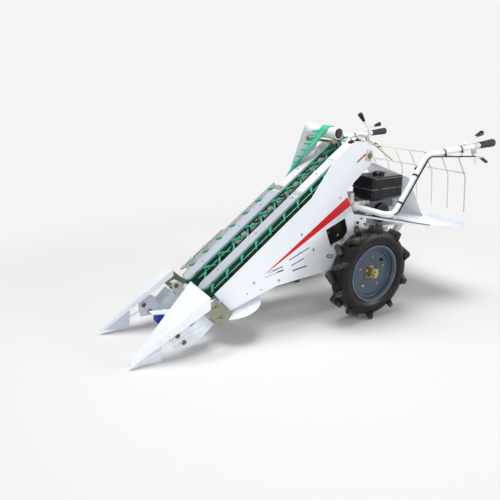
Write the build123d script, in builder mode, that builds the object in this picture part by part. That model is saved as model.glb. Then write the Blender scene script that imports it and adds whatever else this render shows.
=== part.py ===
from build123d import *
from math import atan2, cos, hypot, radians, sin, tan
import os

# Walk-behind bean harvester: two lugged drive wheels, an inclined pair of tined
# belts between side panels, two crop dividers in front, engine and tray behind.
# Millimetres. +X is forward, +Y is the machine's left, +Z is up, ground at z = 0.

# Wheels and axle
axle_x = -273.0
wheel_radius = 275.0
lug_height = 27.0
lug_width = 25.0
lug_length = 70.0
lug_slant = 32.0
lug_flare = 6.0
lug_count = 10
tyre_width = 115.0
track = 705.0
rim_flange_radius = 165.0
rim_width = 100.0
rim_wall = 6.0
rim_seat_radius = 152.0
rim_disc_offset = 10.0
rim_hole_radius = 40.0
hub_flange_radius = 58.0
hub_flange = 10.0
hub_boss_radius = 27.0
hub_boss = 40.0
valve_ring_radius = 98.0
valve_hole_radius = 12.0
axle_radius = 15.0
axle_inside = 60.0
axle_outside = 62.0
axle_tube_radius = 30.0
axle_tube_reach = 262.0
running_fit = 0.4
seat_gap = 0.3

# Frame rails, axle case and the stands that carry the belt cases
rail_width = 40.0
rail_height = 50.0
rail_wall = 4.0
rail_y = 120.0
rail_z = wheel_radius + 35.0
rail_front = axle_x + 680.0
rail_rear = axle_x - 400.0
case_length = 220.0
case_bottom = wheel_radius - 100.0
case_top = rail_z + rail_height - 5.0
stand_tube = 30.0
stand_width = 40.0
stand_places = (axle_x + 150.0, axle_x + 520.0)

# Belt deck, measured up its slope from the foot
deck_angle = 35.3
deck_foot_x = axle_x + 960.0
deck_foot_z = 274.0
deck_length = 1277.0
belt_y = 90.0
pulley_radius = 37.0
pulley_inset = 45.0
belt_thickness = 8.0
belt_height = 62.0
belt_drop = 8.0
cover_half_width = 35.0
cover_plate = 5.0
cover_depth = 80.0
cover_wall = 3.0
tine_pitch = 110.0
tine_first = 70.0
tine_reach = 46.0
tine_reach_in = 62.0
tine_root = 15.0
tine_tip = 7.0
tine_thickness = 8.0
cleat_width = 13.0
cleat_proud = 7.0
tine_sweep = 38.0
tine_count = int((deck_length - pulley_inset - tine_first) / tine_pitch + 0.5)

# Side panels and upper covers
panel_y = 203.0
panel_sheet = 6.0
panel_drop_right = 25.0
cover_reach = 63.0

# Dividers
divider_tip_x = axle_x + 1400.0
divider_y = 225.0
ridge_x = axle_x + 1010.0
ridge_y = 107.0
ridge_z = 337.0
ridge_flange = 38.0
hood_outer_x = axle_x + 985.0
hood_outer_y = 277.0
hood_outer_z = 300.0
hood_flange = 66.0
hood_tip_half = 6.0
hood_tip_top = 32.0
hood_tip_low = 12.0
hood_sheet = 5.0
hood_tip_sheet = 3.0
rib_plate = 8.0
roller_radius = 12.5
roller_proud = 9.0
guard_rod_radius = 3.0
flap_sheet = 4.0

# Front cross housing and cutters
housing_x = axle_x + 835.0
housing_z = 222.0
housing_radius = 30.0
cutter_x = axle_x + 775.0
cutter_y = 150.0
cutter_z = 165.0
cutter_tilt = 12.0
guard_radius = 144.0
guard_sheet = 4.0
cutter_radius = 136.0
cutter_sheet = 3.0
cutter_gap = 10.0
spindle_radius = 10.0
spigot_radius = 22.0
spigot_length = 34.0

# Handlebar
bar_radius = 17.0
bar_wall = 2.5
bar_y = 446.0
bar_cross_x = axle_x - 12.0
bar_cross_z = 2 * wheel_radius + 73.0
grip_radius = 21.0
grip_length = 130.0
grip_end_x = axle_x - 854.0
grip_end_z = 961.0
cable_radius = 4.0
lever_radius = 5.0
knob_radius = 15.0
knob_neck = 8.5
knob_length = 58.0
knob_socket = 20.0

# Engine and tank
bed_sheet = 10.0
bed_rise = 140.0
bed_leg = 30.0
engine_x = axle_x - 210.0
engine_y = 125.0
engine_length = 240.0
engine_width = 150.0
engine_height = 90.0
recoil_radius = 60.0
recoil_depth = 20.0
tank_x = axle_x - 208.0
tank_y = 166.5
tank_lift = 60.0
tank_bottom = rail_z + rail_height + bed_rise + engine_height + tank_lift
tank_length = 244.0
tank_width = 175.0
tank_height = 138.0

# Tray, chute and comb rack
tray_front_x = axle_x - 375.0
tray_fold_x = axle_x - 460.0
tray_rear_x = axle_x - 735.0
tray_fold_z = 487.0
tray_rear_z = 450.0
guard_front_x = axle_x + 2.0
guard_front_z = 585.0
guard_front_y = 206.0
guard_width = 28.0
tray_fold_y = 372.0
tray_left_y = 400.0
tray_right_y = -300.0
tray_sheet = 3.0
tray_lip = 25.0
tray_hem = 15.0
chute_left_y = 90.0
chute_right_y = -280.0
rack_wire = 5.0
tooth_wire = 4.0
rack_bar_up = 0.22
rack_pitch = 126.0
rack_left_y = 400.0
rack_count = 7

# Top pipe and guide rod
guide_rod_radius = 3.5
pipe_x = axle_x + 20.0
pipe_z = 1027.0
pipe_radius = 33.5
pipe_bore = 28.5
pipe_end_y = 60.0

axle_z = wheel_radius
tyre_y = track / 2
rail_top = rail_z + rail_height
slope = tan(radians(deck_angle))
wheel_axis = Axis((axle_x, 0, axle_z), (0, 1, 0))
deck = Plane(
    origin=(deck_foot_x, 0, deck_foot_z),
    x_dir=(cos(radians(deck_angle)), 0, -sin(radians(deck_angle))),
    z_dir=(sin(radians(deck_angle)), 0, cos(radians(deck_angle))),
)
os.makedirs("parts", exist_ok=True)


def side_plane(y):
    return Plane.XZ.offset(-y)


def deck_z(x):
    return deck_foot_z + (deck_foot_x - x) * slope


def save(piece, name):
    piece.part.label = name
    export_step(piece.part, "parts/" + name + ".step")


# Wheels: lugged tyre, dished rim, hub with its axle shaft
carcass_radius = wheel_radius - lug_height
bead_half = rim_width / 2 - rim_wall - seat_gap
bead_radius = rim_seat_radius + seat_gap
for side, hand in ((1, "left"), (-1, "right")):
    centre_y = side * tyre_y
    with BuildPart() as tyre:
        with BuildSketch(Plane.YZ.offset(axle_x)):
            with BuildLine():
                crown_y = tyre_width / 2 - 12
                crown_z = axle_z + carcass_radius - 6
                wall_z = axle_z + rim_flange_radius + 2
                bulge_z = axle_z + (rim_flange_radius + carcass_radius) / 2
                Polyline(
                    (centre_y - bead_half, wall_z),
                    (centre_y - bead_half, axle_z + bead_radius),
                    (centre_y + bead_half, axle_z + bead_radius),
                    (centre_y + bead_half, wall_z),
                )
                ThreePointArc(
                    (centre_y + bead_half, wall_z),
                    (centre_y + tyre_width / 2 - 1, bulge_z),
                    (centre_y + crown_y, crown_z),
                )
                ThreePointArc(
                    (centre_y + crown_y, crown_z),
                    (centre_y, axle_z + carcass_radius),
                    (centre_y - crown_y, crown_z),
                )
                ThreePointArc(
                    (centre_y - crown_y, crown_z),
                    (centre_y - tyre_width / 2 + 1, bulge_z),
                    (centre_y - bead_half, wall_z),
                )
            make_face()
        revolve(axis=wheel_axis)
        for row, turn in ((1, 0.0), (-1, 0.5)):
            for k in range(lug_count):
                a = radians(360 / lug_count * (k + turn))
                lug_plane = Plane(
                    origin=(axle_x + wheel_radius * sin(a), centre_y, axle_z + wheel_radius * cos(a)),
                    x_dir=(0, 1, 0),
                    z_dir=(sin(a), 0, cos(a)),
                )
                with BuildSketch(lug_plane):
                    with Locations((row * lug_length * 0.42, 0)):
                        Rectangle(lug_length, lug_width, rotation=row * lug_slant)
                extrude(amount=-lug_height * 1.7, taper=-lug_flare)
        with Locations(Location((axle_x, centre_y, axle_z), (90, 0, 0))):
            Cylinder(wheel_radius, tyre_width, mode=Mode.INTERSECT)
    save(tyre, "tyre_" + hand)

    half = rim_width / 2
    seat_in = rim_seat_radius - rim_wall
    disc_in = rim_disc_offset
    disc_out = rim_disc_offset + rim_wall
    with BuildPart() as rim:
        with BuildSketch(Plane.YZ.offset(axle_x)):
            with BuildLine():
                Polyline(
                    *[
                        (centre_y + side * y, axle_z + r)
                        for y, r in (
                            (-half, rim_flange_radius),
                            (-half + rim_wall, rim_flange_radius),
                            (-half + rim_wall, rim_seat_radius),
                            (half - rim_wall, rim_seat_radius),
                            (half - rim_wall, rim_flange_radius),
                            (half, rim_flange_radius),
                            (half, seat_in + 4),
                            (half - 10, seat_in - 2),
                            (half - 20, seat_in - 2),
                            (half - 22, seat_in - 12),
                            (disc_out + 2, seat_in - 18),
                            (disc_out, seat_in - 34),
                            (disc_out, rim_hole_radius),
                            (disc_in, rim_hole_radius),
                            (disc_in, seat_in - 30),
                            (disc_in + 2, seat_in - 14),
                            (half - 28, seat_in - 8),
                            (half - 26, seat_in),
                            (-half, seat_in),
                        )
                    ],
                    close=True,
                )
            make_face()
        revolve(axis=wheel_axis)
        with BuildSketch(side_plane(centre_y)):
            with Locations((axle_x - valve_ring_radius * cos(radians(40)), axle_z + valve_ring_radius * sin(radians(40)))):
                Circle(valve_hole_radius)
        extrude(amount=rim_width / 2, both=True, mode=Mode.SUBTRACT)
    save(rim, "rim_" + hand)

    flange_in = disc_in - hub_flange
    shaft_in = axle_tube_reach - axle_inside - tyre_y
    with BuildPart() as hub:
        with BuildSketch(Plane.YZ.offset(axle_x)):
            with BuildLine():
                Polyline(
                    *[
                        (centre_y + side * y, axle_z + r)
                        for y, r in (
                            (shaft_in, 0),
                            (shaft_in, axle_radius),
                            (flange_in, axle_radius),
                            (flange_in, hub_flange_radius),
                            (disc_in, hub_flange_radius),
                            (disc_in, hub_boss_radius),
                            (disc_in + hub_boss, hub_boss_radius),
                            (disc_in + hub_boss, axle_radius),
                            (axle_outside, axle_radius),
                            (axle_outside, 0),
                        )
                    ],
                    close=True,
                )
            make_face()
        revolve(axis=wheel_axis)
    save(hub, "hub_" + hand)

# Axle case between the rails, with the tubes that carry the axle shafts
rail_inner = rail_y - rail_width / 2
with BuildPart() as axle_case:
    with Locations((axle_x, 0, (case_bottom + case_top) / 2)):
        Box(case_length, 2 * rail_inner, case_top - case_bottom)
    fillet(axle_case.edges().filter_by(Axis.Y), 36)
    with BuildSketch(Plane.XZ):
        with Locations((axle_x, axle_z)):
            Circle(axle_tube_radius)
    extrude(amount=axle_tube_reach, both=True)
    for side in (1, -1):
        with BuildSketch(side_plane(side * axle_tube_reach)):
            with Locations((axle_x, axle_z)):
                Circle(axle_tube_radius + 16)
        extrude(amount=side * 12)
        with BuildSketch(side_plane(side * axle_tube_reach)):
            with Locations((axle_x, axle_z)):
                Circle(axle_radius + running_fit)
        extrude(amount=side * (axle_inside + 2), mode=Mode.SUBTRACT)
save(axle_case, "axle_case")

# Two rail tubes
with BuildPart() as frame_rails:
    for side in (1, -1):
        with Locations(((rail_front + rail_rear) / 2, side * rail_y, rail_z + rail_height / 2)):
            Box(rail_front - rail_rear, rail_width, rail_height)
            Box(
                rail_front - rail_rear,
                rail_width - 2 * rail_wall,
                rail_height - 2 * rail_wall,
                mode=Mode.SUBTRACT,
            )
save(frame_rails, "frame_rails")

# Stands: a cross tube on the rails between the panels, two posts up into the cases
post_width = 2 * (cover_half_width - cover_wall)
for stand_x, place in zip(stand_places, ("rear", "front")):
    post_top = deck_z(stand_x + stand_width / 2) - 20
    with BuildPart() as stand:
        with Locations((stand_x, 0, rail_top + stand_tube / 2)):
            Box(stand_width, 2 * (panel_y - panel_sheet), stand_tube)
        for side in (1, -1):
            with Locations((stand_x, side * belt_y, (rail_top + post_top) / 2)):
                Box(stand_width, post_width, post_top - rail_top)
    save(stand, "deck_stand_" + place)

# Belt cases: slot-shaped top plate over a channel that is open below
run_low = pulley_inset
run_high = deck_length - pulley_inset
run_mid = (run_low + run_high) / 2
span = run_high - run_low
channel = span - 2 * (pulley_radius + 12)
for side, hand in ((1, "left"), (-1, "right")):
    with BuildPart() as belt_case:
        with BuildSketch(deck):
            with Locations((-run_mid, side * belt_y)):
                SlotCenterToCenter(span, 2 * cover_half_width)
        extrude(amount=-cover_plate)
        with BuildSketch(deck.offset(-cover_plate)):
            with Locations((-run_mid, side * belt_y)):
                Rectangle(channel, 2 * cover_half_width)
                Rectangle(channel, 2 * (cover_half_width - cover_wall), mode=Mode.SUBTRACT)
        extrude(amount=-(cover_depth - cover_plate))
    save(belt_case, "belt_case_" + hand)

# Tined belts: one loop round two pulleys, forked tines leaning along the travel
# The right belt's outer strand turns flat and goes over the top pipe: run up the
# deck, y, height over the deck, twist from upright
band_turn = (
    (850.0, -131.0, -39.0, 0.0),
    (950.0, -135.0, -9.0, 15.0),
    (1000.0, -124.0, 18.0, 45.0),
    (1070.0, -94.0, 48.0, 72.0),
    (1185.4, -40.0, 105.3, 90.0),
)
band_prongs = (935.0, 965.0, 1000.0, 1035.0, 1070.0, 1105.0, 1140.0, 1175.0)


def band_edge(run):
    for before, after in zip(band_turn, band_turn[1:]):
        if run <= after[0]:
            break
    share = (run - before[0]) / (after[0] - before[0])
    ends = [
        (y - belt_height / 2 * sin(radians(twist)), rise - belt_height / 2 * cos(radians(twist)))
        for _, y, rise, twist in (before, after)
    ]
    return [first + (last - first) * share for first, last in zip(*ends)]


band_start = band_turn[0][0] + 10
band_y = band_turn[-1][1]
band_meet = 14.0
band_leave = 129.0
for side, hand, stagger in ((1, "left", 0.0), (-1, "right", 0.5)):
    face_in = belt_y - pulley_radius - belt_thickness
    face_out = belt_y + pulley_radius + belt_thickness
    with BuildPart() as belt:
        with BuildSketch(deck.offset(-belt_drop)):
            with Locations((-run_mid, side * belt_y)):
                SlotCenterToCenter(span, 2 * (pulley_radius + belt_thickness))
                SlotCenterToCenter(span, 2 * pulley_radius, mode=Mode.SUBTRACT)
            if side < 0:
                with Locations((-(band_start + run_high) / 2, -face_out)):
                    Rectangle(run_high - band_start, 4 * belt_thickness, mode=Mode.SUBTRACT)
        extrude(amount=-belt_height)
        rows = [
            (tine_first + tine_pitch * (k + stagger), face, way, reach)
            for k in range(tine_count)
            for face, way, reach in ((face_in, -1, tine_reach_in), (face_out, 1, tine_reach))
            if side > 0 or way < 0 or tine_first + tine_pitch * (k + stagger) < band_start - tine_pitch / 2
        ]
        with BuildSketch(deck.offset(-belt_drop)):
            for run, face, way, reach in rows:
                with Locations((-run, side * (face + way * (cleat_proud / 2 - 1)))):
                    Rectangle(cleat_width, cleat_proud + 2)
        extrude(amount=-belt_height)
        for level in (belt_drop, belt_drop + belt_height - tine_thickness):
            with BuildSketch(deck.offset(-level)):
                for run, face, way, reach in rows:
                    lean = way * reach * tan(radians(tine_sweep))
                    Polygon(
                        (-run - tine_root / 2, side * (face - way * 3)),
                        (-run + tine_root / 2, side * (face - way * 3)),
                        (-run + lean + tine_tip / 2, side * (face + way * reach)),
                        (-run + lean - tine_tip / 2, side * (face + way * reach)),
                        align=None,
                    )
            extrude(amount=-tine_thickness)
        if side < 0:
            for run, y, rise, twist in band_turn:
                wide = deck.y_dir * sin(radians(twist)) + deck.z_dir * cos(radians(twist))
                with BuildSketch(
                    Plane(origin=deck.from_local_coords(Vector(-run, y, rise)), x_dir=wide, z_dir=-deck.x_dir)
                ):
                    Rectangle(belt_height, belt_thickness)
            loft(ruled=True)
            with BuildSketch(side_plane(band_y + belt_height / 2)):
                with BuildLine():
                    tail = deck.from_local_coords(Vector(3.5 - deck_length, 0, -20))
                    wrap = CenterArc(
                        (pipe_x, pipe_z),
                        pipe_radius + seat_gap + belt_thickness / 2,
                        band_meet,
                        band_leave - band_meet,
                    )
                    Line(wrap @ 1, (tail.X, tail.Z))
                trace(line_width=belt_thickness)
            extrude(amount=belt_height)
            for run in band_prongs:
                edge, level = band_edge(run)
                with BuildSketch(deck.offset(level + tine_thickness)):
                    Polygon(
                        (-run - tine_root / 2, edge + 8),
                        (-run + tine_root / 2, edge + 8),
                        (-run + tine_tip * 2, edge + 4 - tine_reach),
                        (-run + tine_tip, edge + 4 - tine_reach),
                        align=None,
                    )
                extrude(amount=-tine_thickness)
    save(belt, "tined_belt_" + hand)

for run, name in ((run_low, "lower_pulleys"), (run_high, "upper_pulleys")):
    with BuildPart() as pulleys:
        with BuildSketch(deck.offset(-cover_plate)):
            with Locations((-run, belt_y), (-run, -belt_y)):
                Circle(pulley_radius - seat_gap)
        extrude(amount=-(belt_drop + belt_height - cover_plate))
    save(pulleys, name)

# Side panels: x from the axle, z from the ground, once round from the top front
panel_outline = (
    (922.0, 276.0),
    (314.0, 706.0),
    (60.0, 706.0),
    (-19.0, 530.0),
    (-24.0, 440.0),
    (178.0, 268.0),
    (539.0, 246.0),
    (627.0, 225.0),
    (831.0, 165.0),
)
window_outline = ((205.0, 515.0), (66.0, 566.0), (20.0, 426.0), (165.0, 408.0))
# Louver slots: front end x and z, rear end x and z
louvers = (
    (457.0, 375.0, 318.0, 426.0),
    (442.0, 341.0, 349.0, 370.0),
    (432.0, 309.0, 328.0, 321.0),
    (594.0, 326.0, 497.0, 347.0),
    (619.0, 306.0, 492.0, 326.0),
)
louver_height = 9.0
for side, hand, drop in ((1, "left", 0.0), (-1, "right", panel_drop_right)):
    with BuildPart() as side_panel:
        with BuildSketch(side_plane(side * panel_y)):
            with BuildLine():
                Polyline(
                    *[(axle_x + x, z - (drop if k < 3 else 0)) for k, (x, z) in enumerate(panel_outline)],
                    close=True,
                )
            make_face()
            with BuildLine():
                Polyline(*[(axle_x + x, z) for x, z in window_outline], close=True)
            make_face(mode=Mode.SUBTRACT)
            for front_x, front_z, rear_x, rear_z in louvers:
                with BuildLine():
                    Polyline(
                        (axle_x + front_x, front_z),
                        (axle_x + front_x, front_z + louver_height),
                        (axle_x + rear_x, rear_z + louver_height),
                        (axle_x + rear_x, rear_z),
                        close=True,
                    )
                make_face(mode=Mode.SUBTRACT)
        extrude(amount=side * panel_sheet)
    save(side_panel, "side_panel_" + hand)

# Upper left cover: a side sheet on the panel's top edge with a turned-in top
panel_top = panel_outline[1][1]
with BuildPart() as upper_cover:
    with BuildSketch(side_plane(panel_y)):
        with BuildLine():
            top_line = Polyline(
                (axle_x + 314, panel_top), (axle_x + 161, 907), (axle_x + 53, 979), (axle_x - 9, 993)
            )
            ThreePointArc((axle_x - 9, 993), (axle_x - 98, 962), (axle_x - 133, 884))
            Polyline(
                (axle_x - 133, 884),
                (axle_x - 78, 838),
                (axle_x + 60, 733),
                (axle_x + 60, panel_top),
                (axle_x + 314, panel_top),
            )
        make_face()
    extrude(amount=panel_sheet)
    with BuildSketch(side_plane(panel_y)):
        with BuildLine():
            Polyline((axle_x + 161, 904), (axle_x + 53, 976), (axle_x - 9, 990))
            ThreePointArc((axle_x - 9, 990), (axle_x - 96, 960), (axle_x - 130, 884))
        trace(line_width=5)
    extrude(amount=cover_reach)
save(upper_cover, "upper_cover")

# Bracket plate on the right panel that carries the top pipe and rod
bracket_foot = panel_top - panel_drop_right
with BuildPart() as pipe_bracket:
    with BuildSketch(side_plane(-panel_y)):
        with BuildLine():
            Polyline(
                (axle_x + 220, bracket_foot),
                (axle_x + 110, 960),
                (pipe_x + 40, 1086),
                (pipe_x - 36, 1086),
                (pipe_x - 56, 960),
                (axle_x + 60, bracket_foot),
                close=True,
            )
        make_face()
    extrude(amount=-panel_sheet)
save(pipe_bracket, "pipe_bracket")

bracket_face = -(panel_y - panel_sheet)
with BuildPart() as top_pipe:
    with BuildSketch(side_plane(pipe_end_y)):
        with Locations((pipe_x, pipe_z)):
            Circle(pipe_radius)
            Circle(pipe_bore, mode=Mode.SUBTRACT)
    extrude(amount=pipe_end_y - bracket_face)
save(top_pipe, "top_pipe")
with BuildPart() as top_rod:
    with BuildSketch(side_plane(pipe_end_y)):
        with Locations((pipe_x + 22, pipe_z - pipe_radius - 13)):
            Circle(8)
    extrude(amount=pipe_end_y - bracket_face)
save(top_rod, "top_rod")

# Bent guide rod that leads the stalks over the tank
with BuildPart() as guide_rod:
    with BuildLine() as guide_line:
        FilletPolyline(
            (axle_x + 30, 172, 986.4),
            (axle_x + 20, 166, 1016),
            (axle_x - 72, 150, 1024),
            (axle_x - 188, 140, 958),
            (axle_x - 353, 130, 856),
            radius=(10, 30, 60),
        )
    with BuildSketch(Plane(origin=guide_line.line @ 0, z_dir=guide_line.line % 0)):
        Circle(guide_rod_radius)
    sweep()
save(guide_rod, "guide_rod")

# Front housing: cross tube between the panels, belt drive bosses, cutter gear cases
cutter_planes = {
    side: Plane(
        origin=(cutter_x, side * cutter_y, cutter_z),
        x_dir=(cos(radians(cutter_tilt)), 0, -sin(radians(cutter_tilt))),
        z_dir=(sin(radians(cutter_tilt)), 0, cos(radians(cutter_tilt))),
    )
    for side in (1, -1)
}
pulley_under = belt_drop + belt_height
with BuildPart() as front_housing:
    with BuildSketch(side_plane(panel_y - panel_sheet)):
        with Locations((housing_x, housing_z)):
            Circle(housing_radius)
    extrude(amount=2 * (panel_y - panel_sheet))
    with BuildSketch(deck.offset(-pulley_under)):
        with Locations((-run_low, belt_y), (-run_low, -belt_y)):
            Circle(14)
    extrude(amount=-40)
    for side in (1, -1):
        with Locations((housing_x - 40, side * cutter_y, housing_z - 4)):
            Box(70, 56, 52)
        with BuildSketch(cutter_planes[side].offset(guard_sheet / 2)):
            Circle(spigot_radius)
        extrude(amount=spigot_length)
        with BuildSketch(cutter_planes[side].offset(guard_sheet / 2)):
            Circle(spindle_radius + running_fit)
        extrude(amount=spigot_length - 10, mode=Mode.SUBTRACT)
save(front_housing, "front_housing")

with BuildPart() as disc_guards:
    for side in (1, -1):
        with BuildSketch(cutter_planes[side].offset(-guard_sheet / 2)):
            Circle(guard_radius)
            Circle(spindle_radius + 3, mode=Mode.SUBTRACT)
        extrude(amount=guard_sheet)
save(disc_guards, "disc_guards")

for side, hand in ((1, "left"), (-1, "right")):
    low = -guard_sheet / 2 - cutter_gap
    with BuildPart() as cutter:
        with BuildSketch(cutter_planes[side].offset(low)):
            Circle(cutter_radius - 8)
            with PolarLocations(cutter_radius - 10, 24):
                RegularPolygon(10, 3)
        extrude(amount=-cutter_sheet)
        with BuildSketch(cutter_planes[side].offset(low)):
            Circle(spindle_radius)
        extrude(amount=-low + guard_sheet / 2 + spigot_length - 14)
    save(cutter, "cutter_disc_" + hand)

# Dividers: a roof-shaped sheet from a turned rear end to the point
hood_turn = atan2(ridge_x - hood_outer_x, hood_outer_y - ridge_y)
hood_span = hypot(ridge_x - hood_outer_x, hood_outer_y - ridge_y)


def hood_section(side, inner, outer, flange_in, flange_out, top_in, top_out, sheet):
    fall = (top_out - top_in) / (outer - inner)
    return [
        (side * y, z)
        for y, z in (
            (inner, flange_in),
            (inner, top_in),
            (outer, top_out),
            (outer, flange_out),
            (outer - sheet, flange_out),
            (outer - sheet, top_out - sheet - fall * sheet),
            (inner + sheet, top_in - sheet + fall * sheet),
            (inner + sheet, flange_in),
        )
    ]


rib_share = (divider_y - ridge_y) / (hood_outer_y - ridge_y)
rib_rear_x = ridge_x + (hood_outer_x - ridge_x) * rib_share
rib_rear_z = ridge_z + (hood_outer_z - ridge_z) * rib_share - hood_sheet - 1.2


def hood_under(x):
    share = (x - rib_rear_x) / (divider_tip_x - rib_rear_x)
    return rib_rear_z * (1 - share) + (hood_tip_top - hood_tip_sheet) * share - 3 * seat_gap


# Rib under the hood, x from the axle: plate, gap, skid fin
rib_low = (
    (1010.0, 84.0),
    (1040.0, 62.0),
    (1110.0, 46.0),
    (1172.0, 52.0),
    (1180.0, hood_under(axle_x + 1180) - 30),
    (1231.0, hood_under(axle_x + 1231) - 28),
    (1240.0, 0.0),
    (1270.0, 0.0),
    (1380.0, 20.0),
)
rollers = ((1152.0, 119.0), (1119.0, 75.0))
guard_rod = ((1300.0, 50.0), (1241.0, 59.0), (1003.0, 134.0))
for side, hand in ((1, "left"), (-1, "right")):
    with BuildPart() as hood:
        with BuildSketch(
            Plane(
                origin=(ridge_x, side * ridge_y, 0),
                x_dir=(-side * sin(hood_turn), cos(hood_turn), 0),
                z_dir=(cos(hood_turn), side * sin(hood_turn), 0),
            )
        ):
            with BuildLine():
                Polyline(
                    *hood_section(
                        side,
                        0,
                        hood_span,
                        ridge_z - ridge_flange,
                        hood_outer_z - hood_flange,
                        ridge_z,
                        hood_outer_z,
                        hood_sheet,
                    ),
                    close=True,
                )
            make_face()
        with BuildSketch(Plane.YZ.offset(divider_tip_x)):
            with BuildLine():
                Polyline(
                    *hood_section(
                        side,
                        divider_y - hood_tip_half,
                        divider_y + hood_tip_half,
                        hood_tip_low,
                        hood_tip_low,
                        hood_tip_top,
                        hood_tip_top,
                        hood_tip_sheet,
                    ),
                    close=True,
                )
            make_face()
        loft(ruled=True)
    save(hood, "divider_hood_" + hand)

    with BuildPart() as divider_frame:
        with BuildSketch(side_plane(side * divider_y + rib_plate / 2)):
            with BuildLine():
                Polyline(
                    *[(axle_x + x, z) for x, z in rib_low],
                    (axle_x + 1380, hood_under(axle_x + 1380)),
                    (axle_x + 1150, hood_under(axle_x + 1150)),
                    (axle_x + 1060, 140),
                    close=True,
                )
            make_face()
        extrude(amount=rib_plate)
        with BuildSketch(side_plane(side * divider_y + rib_plate / 2 + roller_proud)):
            with Locations(*[(axle_x + x, z) for x, z in rollers]):
                Circle(roller_radius)
        extrude(amount=rib_plate + 2 * roller_proud)
        with BuildLine() as rod_line:
            rod_y = side * (divider_y + rib_plate / 2 + guard_rod_radius - 0.5)
            Polyline(*[(axle_x + x, rod_y, z) for x, z in guard_rod])
        with BuildSketch(Plane(origin=rod_line.line @ 0, z_dir=rod_line.line % 0)):
            Circle(guard_rod_radius)
        sweep(path=rod_line.line, transition=Transition.RIGHT)
        with BuildSketch(side_plane(side * (divider_y - 40) + 45)):
            with BuildLine():
                Polyline(
                    *[(axle_x + x, z) for x, z in ((1086, 132), (1011, 201), (944, 129), (1026, 66))],
                    close=True,
                )
            make_face()
        extrude(amount=90)
        with BuildSketch(side_plane(side * (divider_y - 60) + 20)):
            with BuildLine():
                Polyline(
                    (housing_x + 10, housing_z - 32),
                    (housing_x + 24, housing_z + 6),
                    (axle_x + 985, 176),
                    (axle_x + 962, 140),
                    close=True,
                )
            make_face()
        extrude(amount=40)
        with BuildSketch(Plane.XZ):
            with Locations((housing_x, housing_z)):
                Circle(housing_radius + seat_gap)
        extrude(amount=400, both=True, mode=Mode.SUBTRACT)
    save(divider_frame, "divider_frame_" + hand)

with BuildPart() as divider_flaps:
    for side in (1, -1):
        flap_y = hood_outer_y - hood_sheet - 1.1
        with BuildSketch(side_plane(side * flap_y)):
            with BuildLine():
                Polyline(
                    *[(axle_x + x, z) for x, z in ((1010, 215), (946, 272), (855, 185), (915, 115))],
                    close=True,
                )
            make_face()
        extrude(amount=side * flap_sheet)
save(divider_flaps, "divider_flaps")

# Bearing brackets on the divider arms, ahead of the lower pulleys
arm_fall = (housing_z + 6 - 176) / (housing_x + 24 - axle_x - 985)
with BuildPart() as bearing_brackets:
    for side in (1, -1):
        with BuildSketch(side_plane(side * 155 + 18)):
            with BuildLine():
                Polyline(
                    (axle_x + 940, 176 - 45 * arm_fall + seat_gap),
                    (axle_x + 983, 176 - 2 * arm_fall + seat_gap),
                    (axle_x + 1008, 206),
                    (axle_x + 1008, 246),
                    (axle_x + 976, 252),
                    (axle_x + 940, 226),
                    close=True,
                )
            make_face()
            with Locations((axle_x + 984, 226)):
                Circle(9, mode=Mode.SUBTRACT)
        extrude(amount=36)
save(bearing_brackets, "bearing_brackets")

# Nose tongue in the throat with its rounded cap
with BuildPart() as nose_tongue:
    with BuildSketch(side_plane(25)):
        with BuildLine():
            Polyline(
                (housing_x + 8, housing_z - 12),
                (axle_x + 1000, 140),
                (axle_x + 1120, 150),
                (axle_x + 1195, 162),
            )
        trace(line_width=6)
    extrude(amount=50)
    with BuildSketch(Plane.XZ):
        with Locations((housing_x, housing_z)):
            Circle(housing_radius + seat_gap)
    extrude(amount=100, both=True, mode=Mode.SUBTRACT)
save(nose_tongue, "nose_tongue")
with BuildPart() as nose_cap:
    with BuildSketch(side_plane(25)):
        with Locations((axle_x + 1148, 122.8)):
            Circle(28)
    extrude(amount=50)
    fillet(nose_cap.edges(), 12)
save(nose_cap, "nose_cap")

# Handlebar: one tube bent from a cross run into two arms, on two posts
arm = (
    (bar_cross_x - axle_x, bar_cross_z),
    (-73.0, bar_cross_z + 5),
    (-287.0, 925.0),
)
arm_points = [Vector(axle_x + x, 0, z) for x, z in arm] + [Vector(grip_end_x, 0, grip_end_z)]
bends = (36.0, 45.0, 50.0)
with BuildPart() as handlebar:
    with BuildLine() as bar_line:
        FilletPolyline(
            *[p - Vector(0, bar_y, 0) for p in reversed(arm_points)],
            *[p + Vector(0, bar_y, 0) for p in arm_points],
            radius=tuple(reversed(bends)) + bends,
        )
    with BuildSketch(Plane(origin=bar_line.line @ 0, z_dir=bar_line.line % 0)):
        Circle(bar_radius)
        Circle(bar_radius - bar_wall, mode=Mode.SUBTRACT)
    sweep()
save(handlebar, "handlebar")

with BuildPart() as handle_posts:
    for side in (1, -1):
        post_top = bar_cross_z - bar_radius - seat_gap
        with Locations((bar_cross_x, side * rail_y, (rail_top + post_top) / 2)):
            Box(32, 32, post_top - rail_top)
save(handle_posts, "handle_posts")

grip_dir = (arm_points[-1] - arm_points[-2]).normalized()
with BuildPart() as grips:
    for side in (1, -1):
        end = arm_points[-1] + Vector(0, side * bar_y, 0)
        with BuildSketch(Plane(origin=end, z_dir=grip_dir)):
            Circle(grip_radius)
            Circle(bar_radius + seat_gap, mode=Mode.SUBTRACT)
        extrude(amount=-grip_length)
save(grips, "grips")

# Hand controls: clutch lever above and brake lever below each grip
def bar_at(x):
    a, b = arm_points[2], arm_points[3]
    return a.Z + (b.Z - a.Z) * (x - a.X) / (b.X - a.X)


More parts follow.
